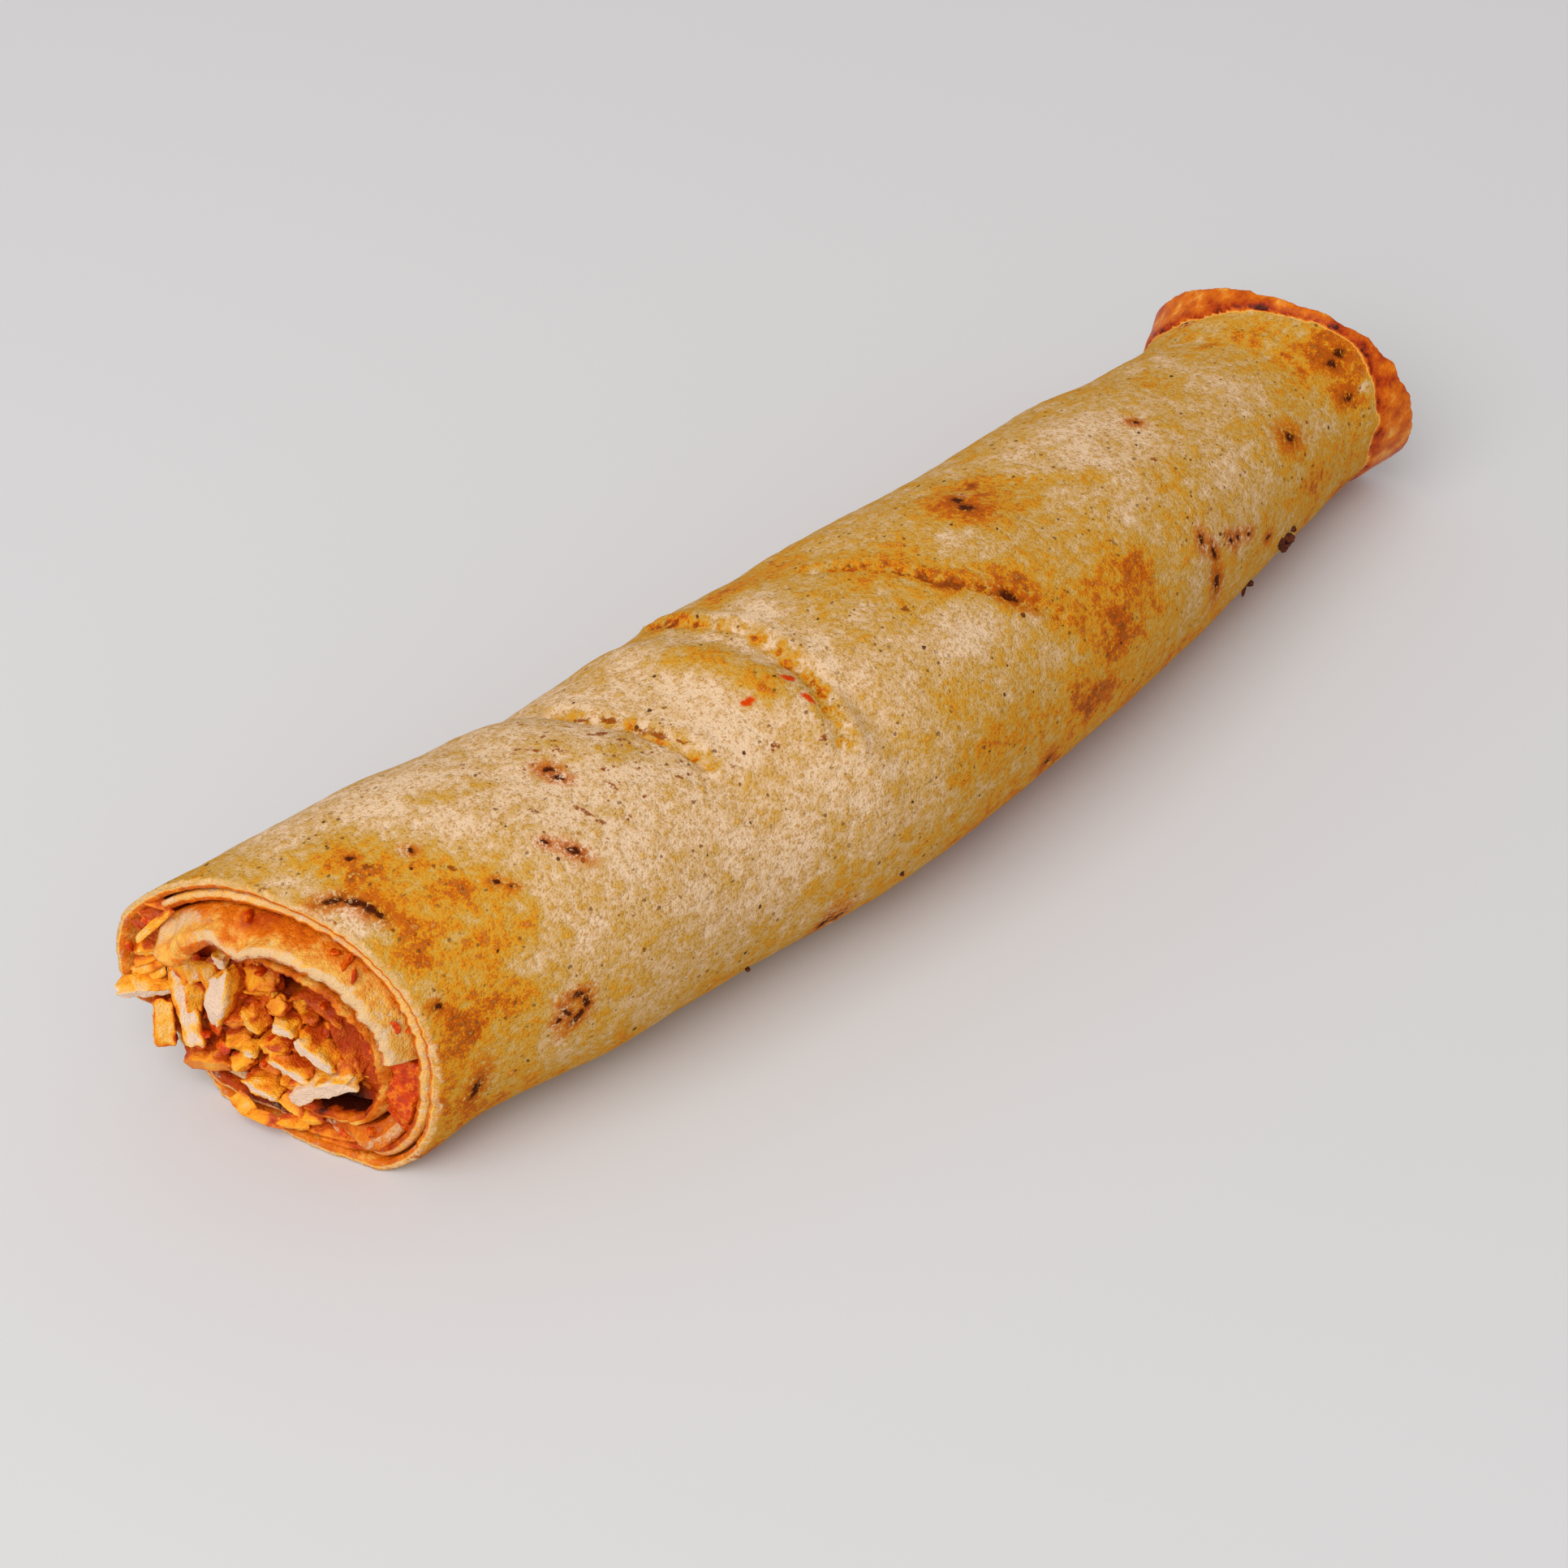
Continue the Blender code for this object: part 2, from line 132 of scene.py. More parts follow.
# Folds in the crust: (station, angle) points, depth, width, and height of the lip beyond.
# Depth and width also set how strong the painted shade along each crease is.
CREASES = [
    ([(0.257, 116), (0.258, 98), (0.260, 88), (0.263, 76), (0.260, 64)], 1.0, 0.9, 0.6),
    ([(0.388, 140), (0.380, 113), (0.382, 100), (0.374, 88), (0.366, 75), (0.349, 60), (0.335, 46)],
     1.1, 1.1, 0.7),
    ([(0.470, 108), (0.495, 90), (0.501, 77), (0.514, 67), (0.528, 56), (0.549, 40)], 0.7, 0.9, 0.45),
    ([(0.175, 88), (0.21, 84), (0.245, 82)], 0.25, 1.4, 0.15),
    ([(0.60, 112), (0.64, 96), (0.69, 74)], 0.25, 1.3, 0.2),
    ([(0.93, 118), (0.945, 90), (0.94, 62)], 0.25, 1.2, 0.3),
]
# Blisters: station, angle, radius, height of the dome, depth of its middle.
BLISTERS = [
    (0.600, 95, 6.5, 0.75, 0.5), (0.866, 38, 2.6, 0.45, 0.6), (0.965, 57, 4.2, 0.5, 0.3),
    (0.951, 37, 3.0, 0.4, 0.3), (0.091, 5, 3.6, 0.35, 0.15), (0.020, 77, 5.0, 0.5, 0.1),
    (0.040, 98, 4.5, 0.35, 0.0), (0.337, 88, 6.0, 0.35, 0.0), (0.62, 36, 8.0, 0.45, 0.0),
    (0.20, 86, 8.0, 0.4, 0.0), (0.72, 110, 7.0, 0.4, 0.0), (0.45, 30, 9.0, 0.4, 0.0),
]

# ---------------------------------------------------------------- colour patches on the crust
# Each patch: station, angle, half length along, half width round, strength.
AMBER = [
    (0.008, 96, 7, 7, 0.6), (0.035, 86, 10, 7, 0.85), (0.056, 74, 10, 8, 0.95),
    (0.062, 60, 10, 8, 1.0), (0.036, 46, 11, 9, 1.0), (0.030, 30, 10, 8, 1.0), (0.014, 15, 8, 7, 0.9),
    (0.075, 42, 7, 8, 0.8), (0.052, 20, 8, 7, 0.75), (0.020, 62, 7, 10, 0.9), (0.088, 64, 5, 6, 0.5),
    (0.012, 0, 6, 6, 0.5), (0.125, 94, 3.5, 3.5, 0.7), (0.338, 95, 5.5, 5, 1.0),
    (0.342, 83, 5, 5, 1.0), (0.365, 136, 7, 3, 0.7), (0.385, 127, 8, 3, 0.7),
    (0.415, 121, 8, 3.5, 0.75), (0.455, 116, 9, 4, 0.65), (0.455, 102, 6, 4, 0.5),
    (0.495, 92, 8, 5, 0.75), (0.480, 74, 6, 4, 0.55), (0.505, 78, 7, 4, 0.6), (0.545, 64, 9, 4.5, 0.8),
    (0.560, 52, 7, 5, 0.8), (0.617, 44, 7, 6, 1.0), (0.628, 32, 7, 6, 1.0), (0.598, 20, 9, 6, 1.0),
    (0.550, 12, 9, 5, 0.9), (0.605, 8, 8, 4, 0.7), (0.530, -2, 12, 5, 0.7), (0.568, 34, 7, 6, 0.75),
    (0.600, 95, 8, 5, 1.0), (0.580, 80, 6, 3.5, 0.6), (0.640, 92, 6, 2, 0.55), (0.921, 104, 6, 5, 0.6),
    (0.958, 92, 5, 7, 0.8), (0.945, 76, 7, 6, 0.75), (0.935, 60, 6, 5, 0.8), (0.975, 48, 5, 6, 0.75),
    (0.905, 60, 5, 4, 0.4), (0.875, 34, 4, 4, 0.5), (0.850, 8, 12, 4, 0.75), (0.78, 2, 12, 4, 0.5),
    (0.844, 90, 6, 3, 0.35), (0.717, 57, 4, 4, 0.5), (0.697, 46, 4, 3, 0.4), (0.745, 58, 5, 3, 0.35),
    (0.20, 96, 7, 3, 0.3), (0.225, 88, 6, 3, 0.25), (0.46, 12, 12, 6, 0.45),
]
DEEP = [
    (0.028, 81, 2.4, 2.6, 0.8), (0.029, 69, 2.2, 3.6, 0.8), (0.018, 54, 2.0, 5, 0.5),
    (0.060, 82, 4, 2.4, 0.4), (0.064, 64, 3, 3, 0.3), (0.622, 102, 4.5, 2.6, 0.75),
    (0.597, 94, 6.0, 3.6, 0.8), (0.633, 38, 5, 4.5, 0.75), (0.590, 31, 3.0, 6.0, 0.7),
    (0.586, 15, 6, 3.0, 0.65), (0.634, 22, 3.5, 4, 0.6), (0.556, 2, 8, 3.0, 0.65),
    (0.966, 57, 5.4, 6.4, 1.15), (0.954, 38, 4.8, 5.2, 1.1), (0.866, 38, 3.4, 3.4, 1.0),
    (0.40, 127, 7, 1.8, 0.6), (0.44, 121, 6, 1.8, 0.6), (0.513, 72, 6, 1.6, 0.6),
    (0.545, 60, 5, 2.4, 0.6), (0.02, 20, 3, 2.0, 0.3), (0.63, 84, 3, 2, 0.4),
    (0.100, 5, 3.2, 3.2, 0.35),
]
OLIVE = [
    (0.395, 27, 9, 7, 0.6), (0.430, 30, 7, 7, 0.8), (0.452, 18, 8, 6, 0.8), (0.410, 10, 9, 5, 0.6),
    (0.835, 38, 9, 7, 0.7), (0.845, 20, 7, 5, 0.7), (0.749, 34, 8, 6, 0.5), (0.300, 6, 16, 6, 0.5),
    (0.200, 12, 14, 8, 0.2), (0.500, 36, 7, 6, 0.5), (0.70, 24, 9, 6, 0.5), (0.93, 92, 6, 6, 0.5),
    (0.125, 22, 9, 8, 0.3), (0.66, 66, 8, 5, 0.35), (0.44, 92, 6, 5, 0.35), (0.80, 104, 12, 6, 0.45),
    (0.86, 102, 10, 6, 0.6), (0.70, 110, 10, 5, 0.4),
]
DUSTED = [
    (0.40, 100, 8, 5, 0.8), (0.31, 100, 10, 6, 0.7), (0.36, 66, 8, 8, 0.7), (0.30, 70, 10, 7, 0.6),
    (0.13, 112, 14, 7, 0.7), (0.09, 50, 8, 8, 0.7), (0.026, 71, 2.2, 3.5, 0.9), (0.72, 92, 12, 7, 0.8),
    (0.19, 46, 14, 8, 0.5), (0.55, 84, 5, 3.5, 0.6), (0.475, 52, 8, 4, 0.6), (0.78, 56, 10, 7, 0.5),
    (0.88, 98, 6, 6, 0.4), (0.018, 92, 3, 4, 0.6), (0.075, 105, 7, 5, 0.4), (0.53, 46, 6, 3, 0.6),
]
# How toasted each kind of patch is, from the first that is laid on to the last.
TOAST_LEVELS = [(DUSTED, 0.06), (OLIVE, 0.50), (AMBER, 0.76), (DEEP, 1.0)]
BLOOM_LEVEL = 0.08
INNER_TOAST = 0.25
PLAIN_FLECKS = 0.12
# How toasted the plain crust is: along the roll, and added round it.
TOAST_ALONG = [(0.0, 0.40), (0.05, 0.32), (0.12, 0.18), (0.25, 0.18), (0.36, 0.21), (0.45, 0.37),
               (0.60, 0.39), (0.75, 0.33), (0.88, 0.40), (1.0, 0.48)]
TOAST_ROUND = [
    (-90, 0.38), (-45, 0.40), (-22, 0.34), (-6, 0.20), (10, 0.09), (30, 0.03), (60, 0.0), (100, -0.02),
    (125, 0.06), (150, 0.16), (200, 0.28), (270, 0.38),
]
# Pale blistered spots over the toast, and stretches with many brown flecks.
BLOOM = [
    (0.011, 68, 2.6, 4.2, 1.0), (0.012, 60, 1.6, 1.8, 0.7), (0.017, 91, 3, 4, 0.7),
    (0.045, 50, 1.8, 1.4, 0.5), (0.606, 99, 1.6, 1.2, 0.9), (0.010, 36, 2.0, 3.0, 0.5),
    (0.070, 30, 3.0, 2.5, 0.5), (0.47, 62, 6, 4, 0.5), (0.879, 62, 1.4, 1.2, 0.8),
    (0.897, 114, 1.8, 1.6, 0.7), (0.848, 18, 1.4, 1.2, 0.7), (0.971, 34, 1.2, 1.2, 0.8),
]
FLECKED = [(0.20, 90, 14, 9, 1.0), (0.25, 80, 10, 9, 0.9), (0.02, 60, 6, 22, 0.8), (0.74, 14, 10, 7, 1.0),
           (0.50, -5, 12, 5, 0.7), (0.30, -18, 24, 5, 0.9), (0.07, 70, 8, 10, 0.7), (0.36, 62, 9, 7, 0.6),
           (0.45, 95, 10, 8, 0.6), (0.15, 60, 10, 9, 0.6), (0.85, 10, 14, 6, 0.8), (0.12, 100, 12, 8, 0.6)]
# Small marks painted by the surface map: station, angle, half length, half width, turn.
CHAR_MARKS = [
    (0.013, 80, 1.6, 0.7, -15), (0.019, 76, 1.2, 0.85, -59), (0.0215, 72, 1.6, 0.8, -82),
    (0.022, 68, 1.0, 0.6, 90), (0.593, 93, 1.5, 1.1, 30), (0.600, 98, 0.9, 0.9, 0),
    (0.975, 56, 1.1, 1.2, 0), (0.964, 54, 1.1, 1.1, 20), (0.952, 35, 1.1, 1.0, 0),
    (0.867, 39, 1.4, 1.4, 0), (0.0255, -10, 0.7, 1.8, -15), (0.528, 57, 0.8, 1.7, 20),
    (0.138, 58, 1.0, 0.6, -71), (0.011, 28, 0.6, 0.7, 0), (0.717, 19, 0.7, 1.5, 0),
    (0.714, 4, 0.9, 1.7, 0), (0.710, 28, 1.2, 0.6, 60), (0.751, 16, 0.7, 0.8, 0),
    (0.743, 17, 0.6, 1.1, 15), (0.766, 13, 0.7, 0.7, 0), (0.083, 5, 1.1, 0.45, -62),
    (0.090, 2, 1.3, 0.5, 40), (0.091, 10, 1.0, 0.45, 0), (0.096, 6, 0.5, 1.0, 10),
    (0.504, -14, 1.0, 0.9, 0), (0.775, 86, 0.6, 0.6, 0), (0.300, -26, 0.8, 2.2, 0),
    (0.312, -27, 0.8, 1.6, 0), (0.187, 88, 0.7, 0.6, 0), (0.184, 84, 0.6, 0.6, 0),
    (0.793, 2, 0.8, 0.6, 0), (0.962, 126, 0.6, 0.8, 0), (0.077, 3, 0.45, 0.5, 0),
    (0.087, 60, 0.5, 0.4, 0), (0.092, 57, 0.4, 0.4, 0), (0.074, 84, 0.5, 0.45, 0),
    (0.049, 91, 0.5, 0.4, 0), (0.130, 65, 0.5, 0.45, 0), (0.973, 0, 0.6, 0.8, 0),
    (0.986, 8, 0.5, 0.6, 0),
]
# Thin scorched streaks; those along the first and the third crease are painted shade lines in their
# grooves.
STREAKS_AND_CREASE_SHADE = [
    (0.240, 92, 1.9, 0.5, -11), (0.245, 87, 1.3, 0.45, 5), (0.208, 92, 1.1, 0.5, 62),
    (0.199, 96, 1.0, 0.5, -80), (0.215, 96, 0.5, 0.4, -47), (0.199, 73, 1.3, 0.5, 90),
    (0.169, 69, 1.8, 0.5, -85), (0.169, 63, 1.1, 0.5, -73), (0.209, 79, 0.6, 0.5, 0),
    (0.224, 75, 0.5, 0.4, 0), (0.197, 100, 0.7, 0.5, 0), (0.238, 100, 0.8, 0.4, -65),
    (0.230, 113, 0.9, 0.4, 0), (0.167, 106, 0.7, 0.4, -60), (0.186, 60, 0.8, 0.5, 0),
    (0.207, 64, 0.5, 0.4, 0), (0.160, 56, 0.5, 0.5, 0), (0.251, 70, 0.6, 0.5, 0),
    (0.238, 65, 0.6, 0.5, 0), (0.146, 77, 0.6, 0.5, 0), (0.258, 105, 1.7, 0.4, -66),
    (0.262, 97, 1.9, 0.4, -69), (0.263, 88, 0.8, 0.4, 90), (0.264, 83, 1.7, 0.4, 90),
    (0.266, 77, 1.4, 0.3, -76), (0.300, 58, 1.0, 0.8, 40), (0.327, 52, 0.8, 0.6, 20),
    (0.272, 60, 0.8, 0.5, 0), (0.462, 74, 0.7, 0.6, 0), (0.520, 66, 0.5, 1.6, 10),
    (0.4985, 83, 3.2, 0.3, -75), (0.5075, 72, 2.9, 0.38, -55), (0.521, 61.5, 3.1, 0.38, -55),
    (0.003, 97, 1.2, 0.5, 0), (0.000, 75, 0.4, 1.8, 0), (0.018, 61, 0.7, 0.6, 0),
    (0.050, 86, 1.0, 0.6, 0), (0.077, 72, 1.0, 0.5, -38), (0.071, 75, 0.8, 0.4, 30),
    (0.736, 22, 0.9, 0.5, 0), (0.727, 21, 0.6, 0.8, 0), (0.740, 68, 0.6, 0.4, 0),
    (0.736, 36, 0.6, 0.5, 0), (0.897, 39, 0.5, 0.6, 0), (0.872, 26, 0.6, 0.5, 0),
    (0.874, 17, 0.5, 0.5, 0), (0.850, 12, 0.7, 0.4, 0), (0.637, 52, 1.2, 0.35, -70),
]
RED_MARKS = [(0.352, 76, 1.1, 1.0, 0), (0.344, 66, 0.9, 1.5, -20), (0.319, 76, 1.2, 0.7, 10)]
MAP_SCALE = 100.0                      # millimetres for each unit of the surface map
MAP_RADIUS = 27.0                      # radius at which an angle is laid out flat

# How wet each turn is with sauce: on its outer face, and added on its inner face.
# On the second to fourth turns these outer-face values also hold painted shade, as those faces lie in the
# gaps between turns.
SOAK_AND_SHADE_OUTSIDE = [0.0, 0.30, 0.38, 0.56]
SOAK_INSIDE = [0.54, 0.42, 0.40, 0.32]
# Stretches of the inner turns that are wetter, drier or painted darker, as angle and spread: painted shade
# along the third turn's curled crease, the plain stretch beside it, the low side and painted shade in the
# cavity under the filling.
SOAK_AND_SHADE_STRETCHES = [(99, 7.0), (22, 30.0), (-80, 50.0), (-62, 24.0)]
TORN = [0.62, 0.58, 1.15, 0.1]         # how much torn crumb each turn's rim shows
LIP_FROM = 0.9                         # station past which the crust can be oily
# Inner border of the oily band round the flared end: angle, station.
LIP_LINE = [(-60, 0.960), (-30, 0.956), (-4, 0.959), (13, 0.970), (36, 0.981), (60, 0.990), (78, 0.988),
            (90, 0.985), (108, 0.975), (122, 0.965), (140, 0.956), (200, 0.960), (250, 0.965)]

# ---------------------------------------------------------------- the filling
CLEARANCE = 0.6                        # between the filling and the bread
CORE_RECESS = (3.4, 5.0)               # how far the core stays back in the cut and the flared end
CORE_COLUMNS = 120
CORE_CAP_RINGS = 26
CORE_ROWS = 60
MERGE_DISTANCE = 1e-6
# Pieces of meat at the cut end: two ends as (p, q, out), width, thickness, where the broad face
# looks, how pale the piece is and how pointed. p runs towards -Y, q up, out away from the roll.
SLICES = [
    ((-8.7, 5.6, 1.8), (-9.8, -5.8, 2.4), 6.4, 4.6, (0.98, 0.25, -0.15), 0.9, 0.85),
    ((-19.4, 1.8, 0.8), (-13.0, -10.6, 3.6), 3.8, 2.3, (0.75, 0.3, 0.6), 0.55, 0.35),
    ((-18.6, 3.4, 0.4), (-16.4, -0.6, 0.8), 3.6, 2.6, (0.4, 0.5, 0.7), -0.15, 0.2),
    ((-20.6, -4.9, 2.4), (-18.4, -12.6, 4.2), 3.6, 3.0, (0.8, 0.1, 0.55), 0.15, 0.15),
    ((-19.4, -2.4, 0.6), (-26.2, -3.4, 5.2), 3.6, 2.6, (0.1, 1.0, 0.2), 1.4, 0.45),
    ((-16.8, 4.4, 0.4), (-15.0, 0.2, 0.9), 3.2, 2.0, (0.8, 0.4, 0.4), 0.25, 0.4),
    ((-14.4, 4.8, 0.2), (-12.2, 0.4, 0.7), 3.4, 2.0, (0.8, 0.3, 0.5), 0.1, 0.3),
    ((-15.6, -0.2, 0.8), (-15.2, -6.2, 1.3), 3.2, 1.8, (0.9, 0.2, 0.4), -0.05, 0.5),
    ((-12.0, 7.2, 0.6), (-9.8, 7.0, 0.6), 2.6, 2.6, (0.0, 1.0, 0.2), 1.0, 0.1),
    ((-9.6, -5.0, 1.0), (-5.8, -2.8, 0.9), 3.4, 2.2, (0.2, 0.9, 0.1), -0.5, 0.4),
    ((-6.4, -1.2, 0.8), (-3.0, -4.4, 1.0), 4.0, 3.0, (0.5, 0.8, 0.1), 0.2, 0.3),
    ((-0.9, 0.8, 0.8), (0.8, 3.6, 0.6), 3.0, 2.8, (0.4, 0.5, 0.7), -0.3, 0.5),
    ((-7.4, 3.0, -0.6), (-2.4, 5.0, -1.2), 4.4, 3.4, (0.2, 0.6, 0.8), -0.25, 0.2),
    ((-0.1, -0.7, 1.3), (3.7, -0.9, 1.3), 6.4, 2.8, (0.1, 1.0, 0.0), 0.6, 0.2),
    ((4.2, -1.7, 1.6), (11.4, -4.7, 1.6), 7.6, 3.0, (0.35, 1.0, -0.1), 0.65, 0.15),
    ((11.4, -4.0, 0.2), (13.6, -8.0, 0.6), 3.6, 2.4, (0.5, 0.7, 0.5), -0.4, 0.3),
    ((3.0, 5.4, -1.4), (10.0, 2.4, -1.0), 4.0, 1.4, (0.3, 0.9, 0.3), -0.8, 0.2),
    ((9.4, 2.0, -0.8), (14.2, -5.6, -0.2), 4.4, 1.4, (0.8, 0.5, 0.3), -0.7, 0.2),
    ((-0.5, -8.0, 1.2), (6.8, -9.4, 1.2), 5.6, 2.6, (0.2, 1.0, 0.0), 0.5, 0.25),
    ((-3.2, -6.8, 0.8), (1.6, -6.2, 0.6), 4.0, 2.4, (0.1, 1.0, 0.2), 0.1, 0.4),
    ((4.0, -14.5, 1.8), (14.3, -6.7, 1.4), 4.4, 3.0, (-0.5, 0.8, 0.3), 1.3, 0.1),
    ((-5.4, -15.0, 1.2), (1.5, -16.3, 1.2), 4.6, 2.4, (0.2, 1.0, 0.0), 0.5, 0.25),
    ((-5.4, -8.8, 1.2), (-3.1, -8.4, 1.2), 2.6, 2.2, (0.1, 0.9, 0.1), 0.6, 0.1),
    ((-3.6, -11.6, 0.0), (-0.1, -12.4, 0.0), 3.4, 3.0, (0.3, 0.8, 0.5), -0.6, 0.3),
    ((-16.6, -15.8, 1.6), (-9.2, -13.4, 0.8), 7.0, 4.4, (-0.2, 0.9, 0.4), -0.3, 0.15),
    ((-9.2, -9.5, 0.9), (-5.0, -7.8, 0.9), 3.6, 3.2, (0.2, 0.8, 0.4), -0.05, 0.3),
    ((-8.0, -14.4, 0.9), (-5.0, -10.8, 0.8), 3.4, 3.0, (0.3, 0.8, 0.5), -0.1, 0.3),
    ((1.0, -13.4, 0.7), (4.4, -11.6, 0.6), 3.0, 2.2, (0.1, 0.9, 0.4), 0.0, 0.3),
    ((1.6, -16.0, 1.4), (6.0, -17.6, 1.2), 3.2, 1.8, (0.0, 0.8, 0.5), 0.05, 0.4),
    ((5.4, -18.2, 1.4), (9.4, -16.4, 1.4), 3.2, 1.6, (-0.2, 0.8, 0.5), 0.0, 0.4),
    ((-5.6, -17.4, 3.2), (-2.2, -20.2, 3.2), 3.0, 0.7, (0.2, 0.8, 0.6), -0.05, 0.5),
    ((-2.8, -20.1, 3.2), (3.8, -20.1, 2.8), 2.0, 0.7, (0.0, 0.9, 0.5), -0.05, 0.6),
    ((2.6, -19.6, 2.8), (7.2, -18.6, 2.0), 2.4, 1.1, (-0.2, 0.8, 0.5), -0.1, 0.5),
    ((4.8, -19.4, 1.4), (15.2, -18.2, 1.0), 3.2, 1.2, (0.0, 0.9, 0.5), -0.7, 0.3),
    ((9.4, -20.6, 1.2), (18.2, -18.8, 0.8), 2.6, 1.1, (-0.1, 0.9, 0.5), -0.8, 0.4),
    ((-18.3, 15.0, 1.8), (-24.0, 6.8, 2.6), 1.3, 0.7, (0.4, 0.2, 1.0), 0.2, 0.35),
    ((-27.4, 7.8, 0.2), (-22.6, 6.2, 0.4), 2.6, 1.8, (0.2, 0.9, 0.4), -0.6, 0.4),
    ((-26.6, 10.4, 0.2), (-22.0, 10.2, 0.2), 2.4, 1.3, (0.3, 0.9, 0.4), -0.5, 0.4),
    ((-25.4, 12.8, 0.0), (-21.0, 12.6, -0.2), 2.2, 1.0, (0.3, 0.9, 0.4), -0.6, 0.4),
    ((-27.2, 1.6, 0.6), (-22.2, 4.4, 0.8), 2.8, 1.9, (0.1, 1.0, 0.4), 0.1, 0.45),
    ((-27.2, -3.0, 0.9), (-21.3, 2.2, 0.6), 2.2, 0.9, (0.2, 0.9, 0.5), 0.2, 0.5),
    ((-27.0, -1.0, 0.5), (-22.4, 2.8, 0.2), 2.2, 0.8, (0.2, 0.9, 0.5), -0.3, 0.5),
    ((-26.0, -3.6, 1.2), (-20.8, 0.6, 0.8), 2.4, 1.0, (0.2, 0.9, 0.5), 0.05, 0.5),
    ((-25.6, -4.8, 1.0), (-21.2, -3.4, 1.0), 3.0, 2.2, (0.1, 0.9, 0.5), -0.2, 0.3),
]
# Pieces of meat in the flared end, given in the same way.
FAR_SLICES = [
    ((-9.0, 1.0, -3.2), (-4.0, 3.6, -3.0), 4.6, 3.0, (0.2, 0.9, 0.3), 0.5, 0.3),
    ((-3.0, 4.4, -3.4), (3.2, 4.2, -3.0), 4.4, 2.6, (0.1, 1.0, 0.2), 0.3, 0.3),
    ((4.4, 3.6, -3.2), (9.4, 0.8, -3.4), 4.2, 2.8, (0.4, 0.9, 0.2), 0.6, 0.3),
    ((-8.6, -2.6, -3.0), (-3.6, -0.6, -2.8), 4.8, 3.0, (0.1, 0.9, 0.4), 0.2, 0.3),
    ((-2.2, -0.4, -2.8), (4.6, 0.2, -2.8), 5.2, 3.2, (0.0, 1.0, 0.1), 0.7, 0.2),
    ((5.4, -2.6, -3.0), (10.0, -4.6, -3.4), 4.0, 2.6, (0.4, 0.9, 0.2), 0.2, 0.3),
    ((-7.6, -6.0, -3.2), (-1.6, -5.0, -3.0), 4.4, 2.6, (0.1, 0.9, 0.3), 0.5, 0.3),
    ((0.0, -4.4, -3.0), (5.2, -5.6, -3.2), 4.2, 2.4, (0.1, 0.9, 0.3), 0.1, 0.3),
]
SLICE_BEND = 0.07                      # largest bend of a piece, as a share of its length
SLICE_TAPER = (0.02, 0.18)             # how much thinner a piece gets along its length
SLICE_CUTS = 16                        # cuts along each side of the block that a piece starts as
SLICE_EDGE = 0.13                      # roundness of its edges, as a share of its least size
DARKEST_TONE = 0.1
# Hollows in the cut end's filling: middle and half size in p and q, and depth.
CAVITIES = [(10.6, -14.8, 4.4, 3.4, 9.0), (-2.2, 4.0, 2.6, 1.8, 6.0), (1.0, -12.0, 1.8, 1.2, 4.0),
            (-1.0, -17.0, 2.4, 1.4, 4.0), (-12.0, -8.0, 1.6, 2.0, 4.0)]
# Cavities are painted near-black as painted shade; this is the depth at which the painted shade is full.
FULL_SHADE_DEPTH = 5.0                       # depth at which a hollow is fully dark
# Torn bits at each end: how many, their middle and half spread in p and q, and how far out.
NEAR_BITS = (240, (-1.0, -3.0), (16.5, 13.0), -3.4)
FAR_BITS = (110, (0.0, -1.6), (11.5, 8.0), -4.9)
GOLDEN_ANGLE = 137.5
BIT_SIZE = (0.5, 1.25)
BIT_SHIFT = 0.7
BITS_BELOW = 7.0                       # at the cut end, bits lie where p + q is less than this
CHUNK_DETAIL = 3
SEED = 7

# The tomato strip's pocket: its angles and the depth of its roof. Then the strip's swollen head:
# the station where it ends, how much wider it is, and the depth of its floor.
POCKET = (-34.0, -5.0)
POCKET_ROOF = 4.5
POCKET_HEAD = 0.016
POCKET_FLARE = 0.34
POCKET_HEAD_INSET = 9.6
# Stations of the strip's rows of faces: first, last and how many.
STRIP_ROWS = [(-0.002, 0.05, 30), (0.06, 0.975, 40)]
STRIP_COLUMNS = 16
# Tomato shreds: turn of the sheet, angle, how far back from its rim, size.
TOMATO_SHREDS = [(2, 60, 4.2, 1.5), (2, 54, 3.2, 1.2), (2, 24, 3.0, 0.9), (2, 100, 5.0, 1.1),
                 (2, 67, 5.2, 1.0), (2, 20, 4.6, 0.7)]
# Loose tomato at the cut end: p, q, out, size.
LOOSE_TOMATO = [
    (-27.4, 2.9, 0.9, 0.8), (-24.4, 9.4, 0.4, 0.9), (-11.6, -7.6, 0.2, 1.2), (-13.4, -9.6, 0.4, 1.0),
    (-12.4, -4.6, 0.0, 1.1), (-2.8, -11.6, -0.2, 0.8), (5.4, -9.8, -0.6, 0.9), (17.0, 1.0, 0.2, 0.8),
    (-15.6, 5.4, 0.2, 0.7), (-4.4, 7.0, -0.6, 0.9), (7.4, 5.4, -0.4, 0.8), (-10.2, -11.0, 0.3, 1.1),
    (-14.0, -12.0, 0.8, 1.1), (12.4, -18.4, 0.2, 1.0), (17.2, -16.4, 0.2, 1.0), (-1.8, -5.6, 0.0, 0.8),
]
FLAT_SHRED = (1.3, 1.0, 0.35)
# Burnt crumbs: station, angle, size, stretch.
CRUMBS = [(0.826, -10, 1.2, 1.0), (0.822, -14, 1.0, 1.2), (0.830, -16, 0.9, 1.0), (0.816, -9, 0.8, 1.3),
          (0.834, -7, 0.7, 1.0), (0.776, -21, 0.8, 1.0), (0.774, -25, 0.45, 3.2), (0.355, -17, 0.5, 1.0),
          (0.243, -30, 0.5, 1.4), (0.013, -98, 0.5, 1.0), (0.013, 248, 0.6, 1.4)]

